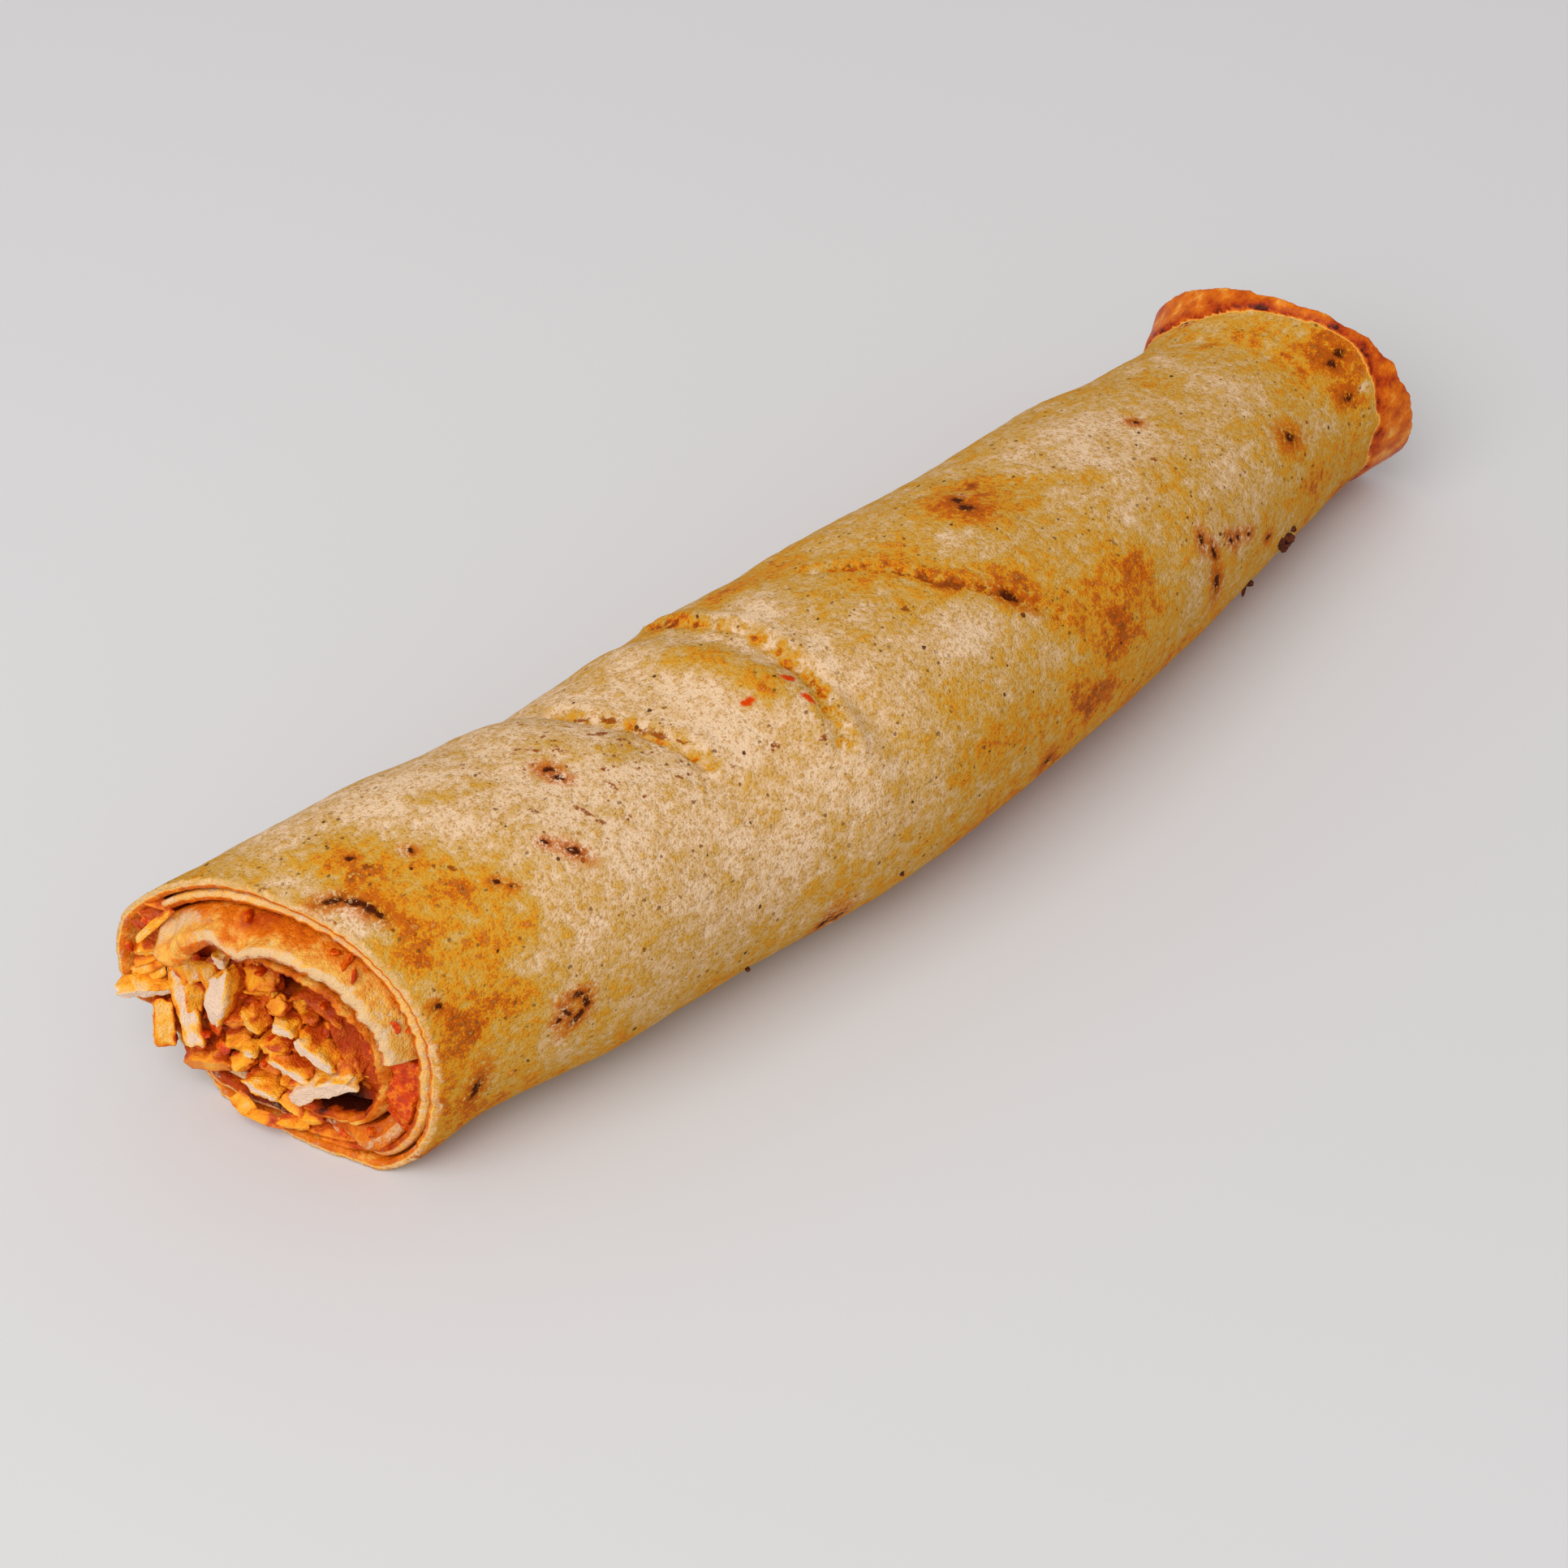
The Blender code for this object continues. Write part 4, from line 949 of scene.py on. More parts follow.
def scatter_bits(end, count, middle, spread, reach, chance):
    """Torn bits over an end of the filling, on a sunflower pattern, clear of the hollows."""
    bits = []
    for k in range(count):
        radius = math.sqrt((k + 0.5) / count)
        turn = math.radians(GOLDEN_ANGLE * k)
        p = middle[0] + spread[0] * radius * math.cos(turn) + chance.uniform(-BIT_SHIFT, BIT_SHIFT)
        q = middle[1] + spread[1] * radius * math.sin(turn) + chance.uniform(-BIT_SHIFT, BIT_SHIFT)
        size = chance.uniform(*BIT_SIZE)
        squash = (chance.uniform(1.0, 2.2), 1.0, chance.uniform(0.4, 0.9))
        tone = 0.06 + 0.54 * chance.random() ** 1.5 - 0.012 * max(p + q, 0.0)
        out = reach + chance.uniform(-1.0, 0.8)
        if end == 0 and (in_cavity(p, q) > 0.35 or p + q > BITS_BELOW):
            continue
        bit = make_chunk("bit", end_point(end, p, q, out), size, squash, chance)
        add_cover(bit, "tone", np.full(len(bit.data.vertices), tone))
        bits.append(bit)
    return bits


def make_tomato_strip():
    """The soft strip through the pocket between the second and the third turn."""
    stations = np.concatenate([np.linspace(*rows) for rows in STRIP_ROWS])
    item = unit_slab("tomato_strip_flesh", STRIP_COLUMNS, len(stations) - 1)
    grid = read_points(item)
    station = stations[np.rint((grid[:, 1] + 0.5) * (len(stations) - 1)).astype(int)]
    head = 1.0 - ease((station - POCKET_HEAD) / 0.004)
    angle = sum(POCKET) / 2 + (POCKET[1] - POCKET[0]) * grid[:, 0] * (1.0 + POCKET_FLARE * head)
    floor = around(INSETS[2], angle) - 0.5
    floor = floor + (POCKET_HEAD_INSET - floor) * head
    share = -grid[:, 2]
    depth = POCKET_ROOF + (floor - POCKET_ROOF) * share
    base = roll_point(angle, station, depth)
    lumps = 0.6 * speckle(base, 3.0, 51) + 0.4 * speckle(base, 1.2, 52)
    across = 1.0 - (2.0 * grid[:, 0]) ** 2 - (2.0 * share - 1.0) ** 2 * 0.6
    front = np.exp(-np.maximum(station, 0.0) * LENGTH / 2.2)
    lead = (1.2 * across + 2.0 * lumps - 1.6) * front
    points = roll_point(angle, station - lead / LENGTH, depth + 1.2 * lumps * front * (share - 0.5))
    write_points(item, points * MM)
    return finish_shape(item)


def make_tomato_shreds(chance):
    """Small shreds of tomato stuck to the folds and between the slices."""
    shreds = []
    for turn, angle, back, size in TOMATO_SHREDS:
        turned = np.array(360.0 * (TURNS - 1 - turn) + angle)
        lead = around(LEADS[turn], turned)
        centre = roll_point(turned, (back - lead) / LENGTH, around(INSETS[turn], turned))
        shreds.append(make_chunk("shred", centre, size, FLAT_SHRED, chance))
    for p, q, out, size in LOOSE_TOMATO:
        squash = (chance.uniform(1.0, 1.5), 1.0, chance.uniform(0.45, 0.8))
        shreds.append(make_chunk("shred", end_point(0, p, q, out - 0.6), size, squash, chance))
    return shreds


def make_crumbs(chance):
    """Burnt crumbs on the crust, none of them below the floor."""
    crumbs = []
    for station, angle, size, stretch in CRUMBS:
        centre = roll_point(np.array(angle), np.array(station), np.array(-0.2))
        crumbs.append(make_chunk("crumb", centre, size, (1.0, 0.8, stretch), chance))
    piece = finish_shape(join_all("burnt_crumbs", crumbs))
    points = read_points(piece)
    points[:, 2] = np.maximum(points[:, 2], 0.0)
    write_points(piece, points)
    return piece


# ================================================================ materials
# Sockets of a Mix node for colours: its factor and two colours, and its result.
MIX_COLOUR_INPUTS = (0, 6, 7)
MIX_COLOUR_OUTPUT = 2


class Number:
    """A number socket in a material: arithmetic on it adds Math nodes."""

    def __init__(self, paint, socket):
        self.paint = paint
        self.socket = socket

    def math(self, operation, *values):
        """The result of one Math node."""
        inputs = dict(enumerate(values))
        return self.paint.node("ShaderNodeMath", {"operation": operation}, inputs)

    def __add__(self, other):
        return self.math("ADD", self, other)

    def __radd__(self, other):
        return self.math("ADD", other, self)

    def __sub__(self, other):
        return self.math("SUBTRACT", self, other)

    def __rsub__(self, other):
        return self.math("SUBTRACT", other, self)

    def __mul__(self, other):
        return self.math("MULTIPLY", self, other)

    def __rmul__(self, other):
        return self.math("MULTIPLY", other, self)

    def most(self, other):
        """The larger of two numbers."""
        return self.math("MAXIMUM", self, other)

    def spread(self, low, high):
        """0 below LOW, 1 above HIGH and even between them."""
        return self.paint.node("ShaderNodeMapRange", {}, {"Value": self, "From Min": low, "From Max": high})

    def smooth(self, low, high):
        """0 below LOW, 1 above HIGH and eased between them."""
        settings = {"interpolation_type": "SMOOTHSTEP"}
        return self.paint.node("ShaderNodeMapRange", settings,
                               {"Value": self, "From Min": low, "From Max": high})


class Paint:
    """Builds the nodes of one material."""

    def __init__(self, name):
        self.material = bpy.data.materials.new(name)
        self.material.use_nodes = True
        self.tree = self.material.node_tree
        self.shader = self.tree.nodes["Principled BSDF"]
        self.place = self.node("ShaderNodeTexCoord", {}, {}, "Object")

    def node(self, kind, settings, inputs, output=0):
        """A node with its settings made first, then the values or links of its sockets."""
        item = self.tree.nodes.new(kind)
        for name, value in settings.items():
            setattr(item, name, value)
        for name, value in inputs.items():
            self.put(item.inputs[name], value)
        return Number(self, item.outputs[output])

    def put(self, socket, value):
        """Links a socket to a node's output, or sets its own value."""
        if isinstance(value, Number):
            self.tree.links.new(value.socket, socket)
        elif socket.type == "RGBA":
            socket.default_value = (*value[:3], 1.0)
        else:
            socket.default_value = value

    def noise(self, size, detail, rough):
        """Noise from 0 to 1 with features of SIZE millimetres."""
        return self.node("ShaderNodeTexNoise", {}, {"Vector": self.place, "Scale": 1.0 / (size * MM),
                                                    "Detail": detail, "Roughness": rough})

    def specks(self, spacing, share, size):
        """Scattered specks: SHARE of cells SPACING mm apart hold one of SIZE cells."""
        inputs = {"Vector": self.shaken(0.8, 0.35), "Scale": 1.0 / (spacing * MM)}
        distance = self.node("ShaderNodeTexVoronoi", {}, inputs)
        tint = self.node("ShaderNodeTexVoronoi", {}, inputs, "Color")
        pick = self.node("ShaderNodeSeparateColor", {}, {"Color": tint}, "Red")
        wide = self.node("ShaderNodeSeparateColor", {}, {"Color": tint}, "Green")
        near = (wide * size + size * 0.5 - distance).smooth(0.0, size * 0.35)
        return near * pick.smooth(1.0 - share, 1.0 - share * 0.6)

    def ramp(self, value, stops):
        """Colours blended through the (value, colour) stops."""
        colour = stops[0][1]
        for (low, _), (high, after) in zip(stops, stops[1:]):
            colour = self.mix(value.spread(low, high), colour, after)
        return colour

    def cover(self, name):
        """The number that a piece's mesh stores under NAME."""
        return self.node("ShaderNodeAttribute", {"attribute_name": name}, {}, "Fac")

    def mix(self, factor, first, second):
        """FIRST turned into SECOND by FACTOR, as colours."""
        inputs = dict(zip(MIX_COLOUR_INPUTS, (factor, first, second)))
        return self.node("ShaderNodeMix", {"data_type": "RGBA"}, inputs, MIX_COLOUR_OUTPUT)

    def marks(self, marks, warp):
        """Distance to the nearest of some painted marks: 1 at a mark's border, warped a little."""
        place = self.node("ShaderNodeUVMap", {"uv_map": "surface"}, {})
        shifted = self.node("ShaderNodeVectorMath", {"operation": "ADD"}, {0: place, 1: warp})
        total = None
        for station, angle, half_length, half_width, turn in marks:
            u, v = flat_place(station, angle)
            inputs = {"Vector": shifted, "Location": (u / MAP_SCALE, v / MAP_SCALE, 0.0),
                      "Rotation": (0.0, 0.0, math.radians(turn)),
                      "Scale": (half_length / MAP_SCALE, half_width / MAP_SCALE, 1.0)}
            local = self.node("ShaderNodeMapping", {"vector_type": "TEXTURE"}, inputs)
            far = self.node("ShaderNodeVectorMath", {"operation": "LENGTH"}, {0: local}, "Value")
            total = far if total is None else total.math("MINIMUM", total, far)
        return total

    def wander(self, size, detail):
        """A vector round zero that wanders over the surface."""
        inputs = {"Vector": self.place, "Scale": 1.0 / (size * MM), "Detail": detail}
        colour = self.node("ShaderNodeTexNoise", {}, inputs, "Color")
        return self.node("ShaderNodeVectorMath", {"operation": "SUBTRACT"},
                         {0: colour, 1: (0.5, 0.5, 0.5)})

    def warp(self, size, reach):
        """A shift on the surface map, REACH millimetres each way."""
        amount = 2.0 * reach / MAP_SCALE
        return self.node("ShaderNodeVectorMath", {"operation": "MULTIPLY"},
                         {0: self.wander(size, 2.0), 1: (amount, amount, 0.0)})

    def shaken(self, size, reach):
        """The object's coordinates, wandering by REACH millimetres."""
        amount = 2.0 * reach * MM
        return self.node("ShaderNodeVectorMath", {"operation": "MULTIPLY_ADD"},
                         {0: self.wander(size, 1.0), 1: (amount, amount, amount), 2: self.place})

    def bump(self, height, depth):
        """A bumpy normal, DEPTH millimetres high for each unit of HEIGHT."""
        return self.node("ShaderNodeBump", {}, {"Strength": 1.0, "Distance": depth * MM,
                                                "Height": height})

    def finish(self, **sockets):
        """Feeds the shader's sockets, named with underscores for spaces."""
        for name, value in sockets.items():
            self.put(self.shader.inputs[name.replace("_", " ")], value)
        return self.material


def bread_material(colours):
    """Toasted flatbread: a ramp from pale to scorched outside, soaked and torn inside, with painted shade
    along the folds, in the gaps between turns and in the cavity under the filling.
    """
    paint = Paint("toasted_bread")
    cloud = paint.noise(9.0, 2.0, 0.5) - 0.5
    mottle = paint.noise(2.4, 3.0, 0.6) - 0.5
    blotch = paint.noise(0.95, 2.0, 0.6) - 0.5
    grain = paint.noise(0.36, 1.0, 0.5) - 0.5
    uneven = cloud * 0.8 + mottle * 1.15 + blotch * 0.7 + grain * 0.5

    # the folds' cover adds painted shade to the toast along the folds
    toast = paint.cover("toast") + uneven + paint.cover("crease_shade") * (0.36 + mottle * 2.0)
    colour = paint.ramp(toast, [(0.0, colours.pale), (0.2, colours.cream), (0.4, colours.tan),
                                (0.56, colours.golden), (0.72, colours.amber), (0.9, colours.deep),
                                (1.12, colours.scorch)])
    soak_and_shade = paint.cover("soak_and_shade")
    dry = paint.cover("crust") * (1.0 - soak_and_shade.smooth(0.1, 0.4))
    freckle = (blotch + grain * 0.9).smooth(0.06, 0.2) * dry
    colour = paint.mix(freckle * 0.5, colour, colours.freckle)
    fine = paint.specks(1.5, 0.6, 0.20) * cloud.smooth(-0.2, 0.04) * dry
    colour = paint.mix(fine * 0.8, colour, colours.speck)
    speck = paint.specks(3.2, 0.5, 0.10) * dry
    colour = paint.mix(speck * 0.9, colour, colours.char)

    warp = paint.warp(1.6, 0.8)
    broken = blotch + mottle * 0.6 + grain * 0.5
    red = paint.marks(RED_MARKS, warp)
    colour = paint.mix(1.0 - red.smooth(0.55, 1.25), colour, colours.tomato)
    burnt = paint.marks(CHAR_MARKS, warp)
    char = (1.0 - burnt.smooth(0.6, 1.3)) * broken.smooth(-0.26, -0.08)
    halo = (1.0 - burnt.smooth(0.9, 2.7)) * broken.smooth(-0.2, 0.06)
    glow = (1.0 - burnt.smooth(1.4, 5.0)) * broken.smooth(-0.26, 0.04)
    colour = paint.mix(glow * 0.8, colour, colours.deep)
    wilder = paint.node("ShaderNodeVectorMath", {"operation": "SCALE"},
                        {"Vector": warp, "Scale": 1.0 + char})
    # scorched streaks, plus painted shade lines in the grooves of two creases
    streak_and_crease_shade = (1.0 - paint.marks(STREAKS_AND_CREASE_SHADE, wilder).smooth(0.55, 1.25)) * broken.smooth(-0.16, 0.04)
    colour = paint.mix(streak_and_crease_shade.most(halo * 0.75) * 0.9, colour, colours.scorch)
    colour = paint.mix(char * 0.97, colour, colours.char)
    fleck = paint.specks(1.9, 0.6, 0.16) * paint.cover("flecked")
    colour = paint.mix(fleck * 0.85, colour, colours.scorch)

    # sauce, oil and painted shade in the gaps share this ramp; its darkest stop is painted shade for the
    # cavity under the filling
    wet = soak_and_shade + mottle * 0.75 + blotch * 0.4
    soak_and_shade_mix = wet.smooth(0.12, 0.30)
    soaked = paint.ramp(wet, [(0.30, colours.soak_light), (0.58, colours.soak_mid),
                              (0.92, colours.soak_deep_and_shade), (1.15, colours.hollow_and_shade)])
    colour = paint.mix(soak_and_shade_mix, colour, soaked)
    crumb = (paint.cover("crumb") + blotch + mottle * 0.5).smooth(0.3, 0.75)
    colour = paint.mix(crumb * 0.92, colour, colours.crumb)

    height = mottle * 0.8 + blotch * 0.6 + grain * 0.35 - speck * 0.2
    rough = 0.85 - toast.smooth(0.5, 0.9) * 0.2 - soak_and_shade_mix * 0.34 + crumb * 0.2
    return paint.finish(Base_Color=colour, Roughness=rough, Normal=paint.bump(height, 0.6),
                        Specular_IOR_Level=0.05, Coat_Weight=soak_and_shade_mix * 0.1, Coat_Roughness=0.2)


def meat_material(colours):
    """Cooked meat by its tone: red with sauce, then orange and golden sear, then white where cut.

    The slices and the bits share it, so that it is made once.
    """
    made = bpy.data.materials.get("sliced_meat")
    if made:
        return made
    paint = Paint("sliced_meat")
    patch = paint.noise(1.5, 2.0, 0.6) - 0.5
    fine = paint.noise(0.42, 2.0, 0.6) - 0.5
    tone = paint.cover("tone") + patch * 0.42 + fine * 0.26
    colour = paint.ramp(tone, [(0.0, colours.sauce), (0.16, colours.sear_deep), (0.30, colours.orange),
                               (0.45, colours.sear), (0.60, colours.gold),
                               (0.80, colours.meat_shade), (0.98, colours.meat_white)])
    pale = tone.smooth(0.6, 0.9)
    return paint.finish(Base_Color=colour, Roughness=0.40 + pale * 0.2,
                        Coat_Weight=(1.0 - pale) * 0.15, Coat_Roughness=0.2,
                        Normal=paint.bump(fine * 0.7 + patch * 0.7, 0.6), Specular_IOR_Level=0.12)


def core_material(colours):
    """The sauce-soaked body of the filling, painted near-black in its cavities as painted shade."""
    paint = Paint("filling_core")
    patch = paint.noise(2.2, 3.0, 0.6) - 0.5
    fine = paint.noise(0.7, 2.0, 0.6) - 0.5
    colour = paint.ramp(patch + fine * 0.5, [(-0.15, colours.sauce), (0.10, colours.sear_deep),
                                             (0.32, colours.orange)])
    # painted shade: near-black in the filling's cavities
    colour = paint.mix(paint.cover("hollow_and_shade"), colour, colours.hollow_and_shade)
    return paint.finish(Base_Color=colour, Roughness=0.35 + patch * 0.3, Specular_IOR_Level=0.12,
                        Normal=paint.bump(patch + fine * 0.5, 0.6), Coat_Weight=0.1,
                        Coat_Roughness=0.15)


def tomato_material(colours):
    """Wet tomato flesh, from sauce red on the low places of its bumps to lighter tomato on the high ones.
    """
    paint = Paint("wet_tomato")
    patch = paint.noise(1.6, 2.0, 0.55) - 0.5
    fine = paint.noise(0.5, 1.0, 0.55) - 0.5
    colour = paint.ramp(patch + fine * 0.4, [(-0.2, colours.sauce), (-0.02, colours.tomato),
                                             (0.2, colours.tomato_light)])
    return paint.finish(Base_Color=colour, Roughness=0.25 + patch * 0.2, Specular_IOR_Level=0.12,
                        Normal=paint.bump(patch + fine * 0.4, 0.5), Coat_Weight=0.1,
                        Coat_Roughness=0.1)


def char_material(colours):
    """Brown to black burnt crumb."""
    paint = Paint("burnt_crumb")
    patch = paint.noise(0.8, 2.0, 0.6) - 0.5
    colour = paint.ramp(patch, [(-0.05, colours.char), (0.3, colours.scorch)])
    return paint.finish(Base_Color=colour, Roughness=0.75, Specular_IOR_Level=0.25,
                        Normal=paint.bump(patch, 0.4))


def floor_material(colours):
    """The plain pale floor, with a faint cloud."""
    paint = Paint("pale_floor")
    cloud = paint.noise(400.0, 1.0, 0.5)
    return paint.finish(Base_Color=paint.mix(cloud, colours.floor, colours.floor_shade),
                        Roughness=0.6, Specular_IOR_Level=0.3)


# ================================================================ settings
def colour_setting(name, description, value):
    """A colour that can be changed in the add-on's settings."""
    return bpy.props.FloatVectorProperty(name=name, description=description, default=value,
                                         size=3, subtype="COLOR", min=0.0, max=1.0)


class WrapColours(bpy.types.PropertyGroup):
    """Colours of the bread, the filling and the floor, as linear RGB."""

    pale: colour_setting("Pale", "Floury, untoasted crust", (0.78, 0.54, 0.33))
    cream: colour_setting("Cream", "Barely toasted crust", (0.67, 0.42, 0.205))
    tan: colour_setting("Tan", "Lightly toasted crust", (0.60, 0.345, 0.095))
    golden: colour_setting("Golden", "Dry golden toast", (0.60, 0.30, 0.03))
    amber: colour_setting("Amber", "Oily toasted patches", (0.67, 0.255, 0.008))
    deep: colour_setting("Deep toast", "Red-brown toast", (0.54, 0.105, 0.003))
    scorch: colour_setting("Scorch", "Brown streaks", (0.26, 0.05, 0.003))
    freckle: colour_setting("Freckle", "Fine brown grain of the crust", (0.44, 0.20, 0.035))
    speck: colour_setting("Specks", "Fine brown specks of the crust", (0.17, 0.065, 0.013))
    char: colour_setting("Char", "Burnt spots", (0.060, 0.008, 0.001))
    crumb: colour_setting("Crumb", "Torn inside of the bread", (0.75, 0.49, 0.25))
    soak_light: colour_setting("Light soak", "Bread just wet with oil", (0.86, 0.45, 0.08))
    soak_mid: colour_setting("Soak", "Bread soaked with sauce", (0.72, 0.16, 0.004))
    # this darkest sauce colour is also painted shade in the gaps between turns and along the curled crease
    soak_deep_and_shade: colour_setting("Deep soak", "Bread dark with sauce", (0.42, 0.04, 0.002))
    meat_white: colour_setting("Meat", "White cut faces", (0.84, 0.60, 0.43))
    meat_shade: colour_setting("Meat shade", "Creamy meat", (0.93, 0.56, 0.19))
    gold: colour_setting("Gold", "Bright golden sides", (0.98, 0.43, 0.02))
    sear: colour_setting("Sear", "Golden seared sides", (0.94, 0.33, 0.012))
    orange: colour_setting("Orange", "Orange seared sides", (0.84, 0.21, 0.008))
    sear_deep: colour_setting("Deep sear", "Red-orange sides", (0.60, 0.085, 0.003))
    sauce: colour_setting("Sauce", "Red sauce", (0.46, 0.034, 0.0015))
    # painted shade, near-black: the filling's cavities and the innermost turn under the filling
    hollow_and_shade: colour_setting("Hollow", "Gaps in the filling", (0.05, 0.006, 0.002))
    tomato: colour_setting("Tomato", "Tomato flesh", (0.66, 0.05, 0.001))
    tomato_light: colour_setting("Light tomato", "Thin tomato flesh", (0.84, 0.19, 0.003))
    floor: colour_setting("Floor", "Pale floor", (0.68, 0.67, 0.675))
    floor_shade: colour_setting("Floor shade", "Faint cloud on the floor", (0.65, 0.64, 0.645))


class WrapSizes(bpy.types.PropertyGroup):
    """Sizes and amounts that a user would change."""

    relief: bpy.props.FloatProperty(
        name="Relief", description="How deep the crust's bumps and folds are", default=1.0, min=0.0,
        subtype="FACTOR", soft_max=2.0)
    crust_columns: bpy.props.IntProperty(
        name="Crust columns", description="Faces round the outer turn", default=232, min=40)
    inner_columns: bpy.props.IntProperty(
        name="Inner columns", description="Faces round the inner turns", default=430, min=40)
    floor_size: bpy.props.FloatProperty(
        name="Floor", description="Width of the floor", default=4.0, unit="LENGTH")
    key_size: bpy.props.FloatProperty(
        name="Key light", description="Width of the soft lights", default=1.6, unit="LENGTH")
    key_power: bpy.props.FloatProperty(
        name="Key power", description="Power of the soft light", default=20.5, unit="POWER")
    sky: bpy.props.FloatProperty(
        name="Sky", description="Brightness of the even light all round", default=0.57, min=0.0)


class WRAP_OT_roll_bread(bpy.types.Operator):
    """Rolls the sheet of bread: its outer turn and its inner turns"""

    bl_idname = "wrap.roll_bread"
    bl_label = "Roll the bread"

    def execute(self, context):
        sizes = context.scene.wrap_sizes
        material = bread_material(context.scene.wrap_colours)
        outer = make_sheet("bread_crust", (SPLIT, OUTER_END), sizes.crust_columns,
                           end_rows(*CRUST_ROWS), sizes.relief)
        inner = make_sheet("bread_turns", (INNER_EDGE, SPLIT), sizes.inner_columns,
                           end_rows(*INNER_ROWS), sizes.relief)
        for piece in (outer, inner):
            settle(piece, "flatbread", material)
        return {"FINISHED"}


class WRAP_OT_pack_filling(bpy.types.Operator):
    """Packs the body of the filling into the roll"""

    bl_idname = "wrap.pack_filling"
    bl_label = "Pack the filling"

    def execute(self, context):
        core = make_core(CORE_COLUMNS, CORE_CAP_RINGS, np.linspace(0.0, 1.0, CORE_ROWS))
        settle(core, "meat_filling", core_material(context.scene.wrap_colours))
        return {"FINISHED"}


class WRAP_OT_lay_slices(bpy.types.Operator):
    """Lays the slices of meat that show at both ends"""

    bl_idname = "wrap.lay_slices"
    bl_label = "Lay the slices"

    def execute(self, context):
        chance = random.Random(SEED)
        slices = [make_slice(0, piece, chance) for piece in SLICES]
        slices += [make_slice(1, piece, chance) for piece in FAR_SLICES]
        piece = join_all("meat_slices", slices)
        settle(piece, "meat_filling", meat_material(context.scene.wrap_colours))
        return {"FINISHED"}


class WRAP_OT_scatter_bits(bpy.types.Operator):
    """Scatters torn bits of meat between the slices and in the flared end"""

    bl_idname = "wrap.scatter_bits"
    bl_label = "Scatter the bits"

    def execute(self, context):
        chance = random.Random(SEED + 1)
        bits = scatter_bits(0, *NEAR_BITS, chance) + scatter_bits(1, *FAR_BITS, chance)
        piece = finish_shape(join_all("meat_bits", bits))
        settle(piece, "meat_filling", meat_material(context.scene.wrap_colours))
        return {"FINISHED"}


class WRAP_OT_tuck_tomato(bpy.types.Operator):
    """Tucks the tomato strip into its pocket and lays the loose shreds"""

    bl_idname = "wrap.tuck_tomato"
    bl_label = "Tuck in the tomato"

    def execute(self, context):
        material = tomato_material(context.scene.wrap_colours)
        settle(make_tomato_strip(), "tomato_strip", material)
        shreds = make_tomato_shreds(random.Random(SEED + 2))
        settle(finish_shape(join_all("tomato_shreds", shreds)), None, material)
        return {"FINISHED"}


class WRAP_OT_drop_crumbs(bpy.types.Operator):
    """Sticks the burnt crumbs to the crust"""

    bl_idname = "wrap.drop_crumbs"
    bl_label = "Drop the crumbs"

    def execute(self, context):
        piece = make_crumbs(random.Random(SEED + 3))
        settle(piece, None, char_material(context.scene.wrap_colours))
        return {"FINISHED"}


def add_soft_light(name, location, size, power):
    """A square soft light that faces the wrap."""
    bpy.ops.object.light_add(type="AREA", location=location)
    light = bpy.context.object
    light.name = name
    light.data.shape = "SQUARE"
    light.data.size = size
    light.data.energy = power
    light.rotation_euler = Vector(location).to_track_quat("Z", "Y").to_euler()


def add_view_camera():
    """The camera that looks at the wrap from above its cut end."""
    azimuth, elevation = math.radians(VIEW_AZIMUTH), math.radians(VIEW_ELEVATION)
    back = Vector((math.sin(azimuth) * math.cos(elevation),
                   -math.cos(azimuth) * math.cos(elevation),
                   math.sin(elevation)))
    target = Vector(VIEW_TARGET) * MM
    bpy.ops.object.camera_add(location=target + back * VIEW_DISTANCE * MM)
    camera = bpy.context.object
    camera.rotation_euler = back.to_track_quat("Z", "Y").to_euler()
    camera.data.angle = math.radians(VIEW_ANGLE)
    camera.data.clip_start = NEAREST_VIEW
    return camera


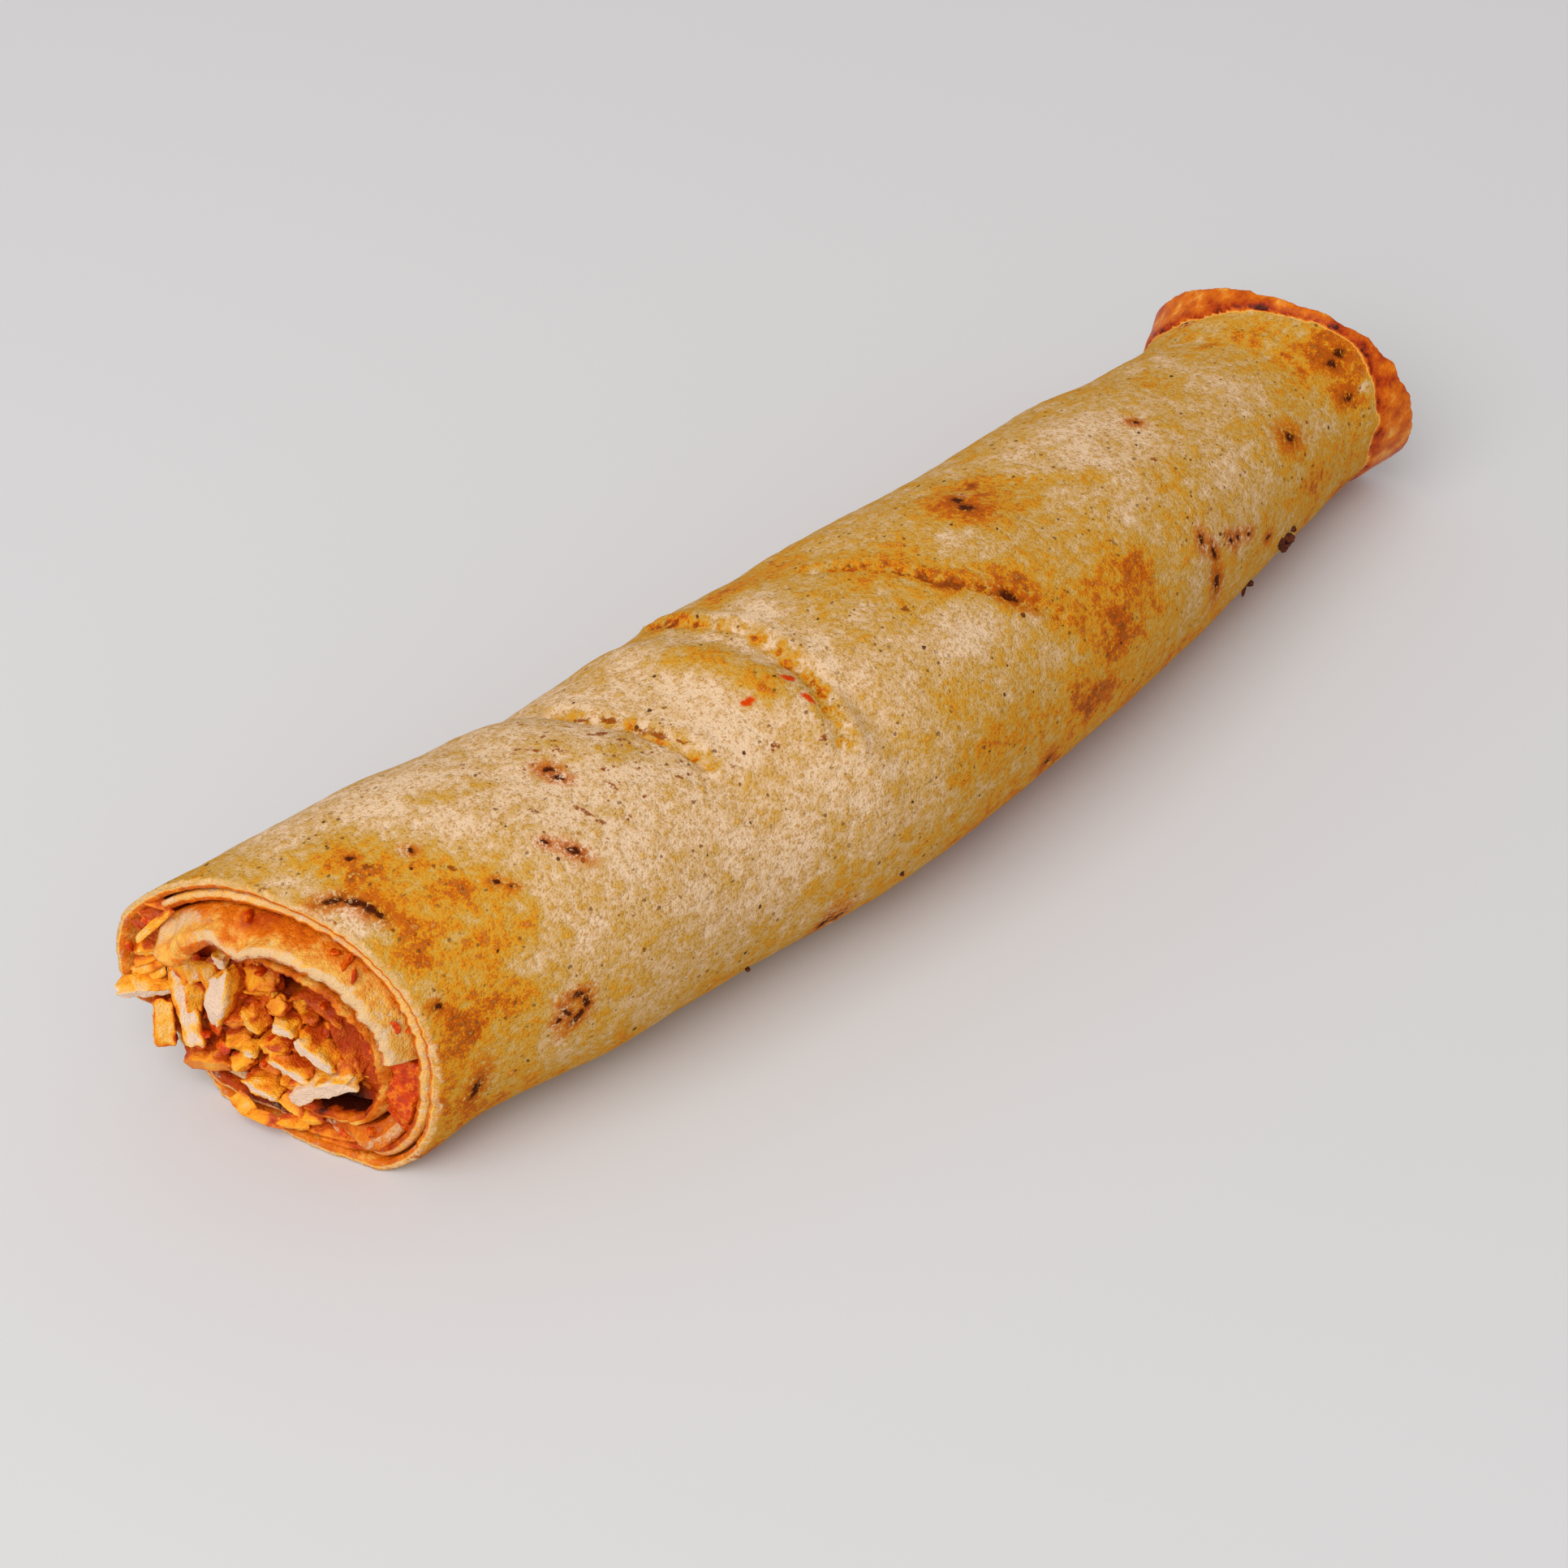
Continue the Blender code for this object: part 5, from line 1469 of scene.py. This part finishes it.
class WRAP_OT_set_stage(bpy.types.Operator):
    """Sets the floor, the lights and the camera"""

    bl_idname = "wrap.set_stage"
    bl_label = "Set the stage"

    def execute(self, context):
        sizes = context.scene.wrap_sizes
        floor = add_primitive("floor", bpy.ops.mesh.primitive_plane_add, size=sizes.floor_size)
        floor.data.materials.append(floor_material(context.scene.wrap_colours))

        world = bpy.data.worlds.new("studio")
        world.use_nodes = True
        background = world.node_tree.nodes["Background"]
        background.inputs["Color"].default_value = SKY_COLOUR
        background.inputs["Strength"].default_value = sizes.sky
        context.scene.world = world
        context.scene.view_settings.view_transform = "Standard"

        for name, location, share in LIGHTS:
            add_soft_light(name, location, sizes.key_size, sizes.key_power * share)
        context.scene.camera = add_view_camera()
        return {"FINISHED"}


class WRAP_PT_panel(bpy.types.Panel):
    """Lists the steps that make the wrap"""

    bl_label = "Wrap"
    bl_idname = "WRAP_PT_panel"
    bl_space_type = "VIEW_3D"
    bl_region_type = "UI"
    bl_category = "Wrap"

    def draw(self, context):
        for step in STEPS:
            self.layout.operator(step.bl_idname)
        for name in ("relief", "key_power", "sky"):
            self.layout.prop(context.scene.wrap_sizes, name)


STEPS = [WRAP_OT_roll_bread, WRAP_OT_pack_filling, WRAP_OT_lay_slices, WRAP_OT_scatter_bits,
         WRAP_OT_tuck_tomato, WRAP_OT_drop_crumbs, WRAP_OT_set_stage]
CLASSES = [WrapColours, WrapSizes, *STEPS, WRAP_PT_panel]


def register():
    """Registers the add-on's classes and settings."""
    for item in CLASSES:
        bpy.utils.register_class(item)
    bpy.types.Scene.wrap_colours = bpy.props.PointerProperty(type=WrapColours)
    bpy.types.Scene.wrap_sizes = bpy.props.PointerProperty(type=WrapSizes)


def unregister():
    """Removes the add-on's settings and classes again."""
    del bpy.types.Scene.wrap_sizes
    del bpy.types.Scene.wrap_colours
    for item in reversed(CLASSES):
        bpy.utils.unregister_class(item)


def main():
    """Makes every piece in turn."""
    register()
    bpy.ops.wrap.roll_bread()
    bpy.ops.wrap.pack_filling()
    bpy.ops.wrap.lay_slices()
    bpy.ops.wrap.scatter_bits()
    bpy.ops.wrap.tuck_tomato()
    bpy.ops.wrap.drop_crumbs()
    bpy.ops.wrap.set_stage()


if __name__ == "__main__":
    main()
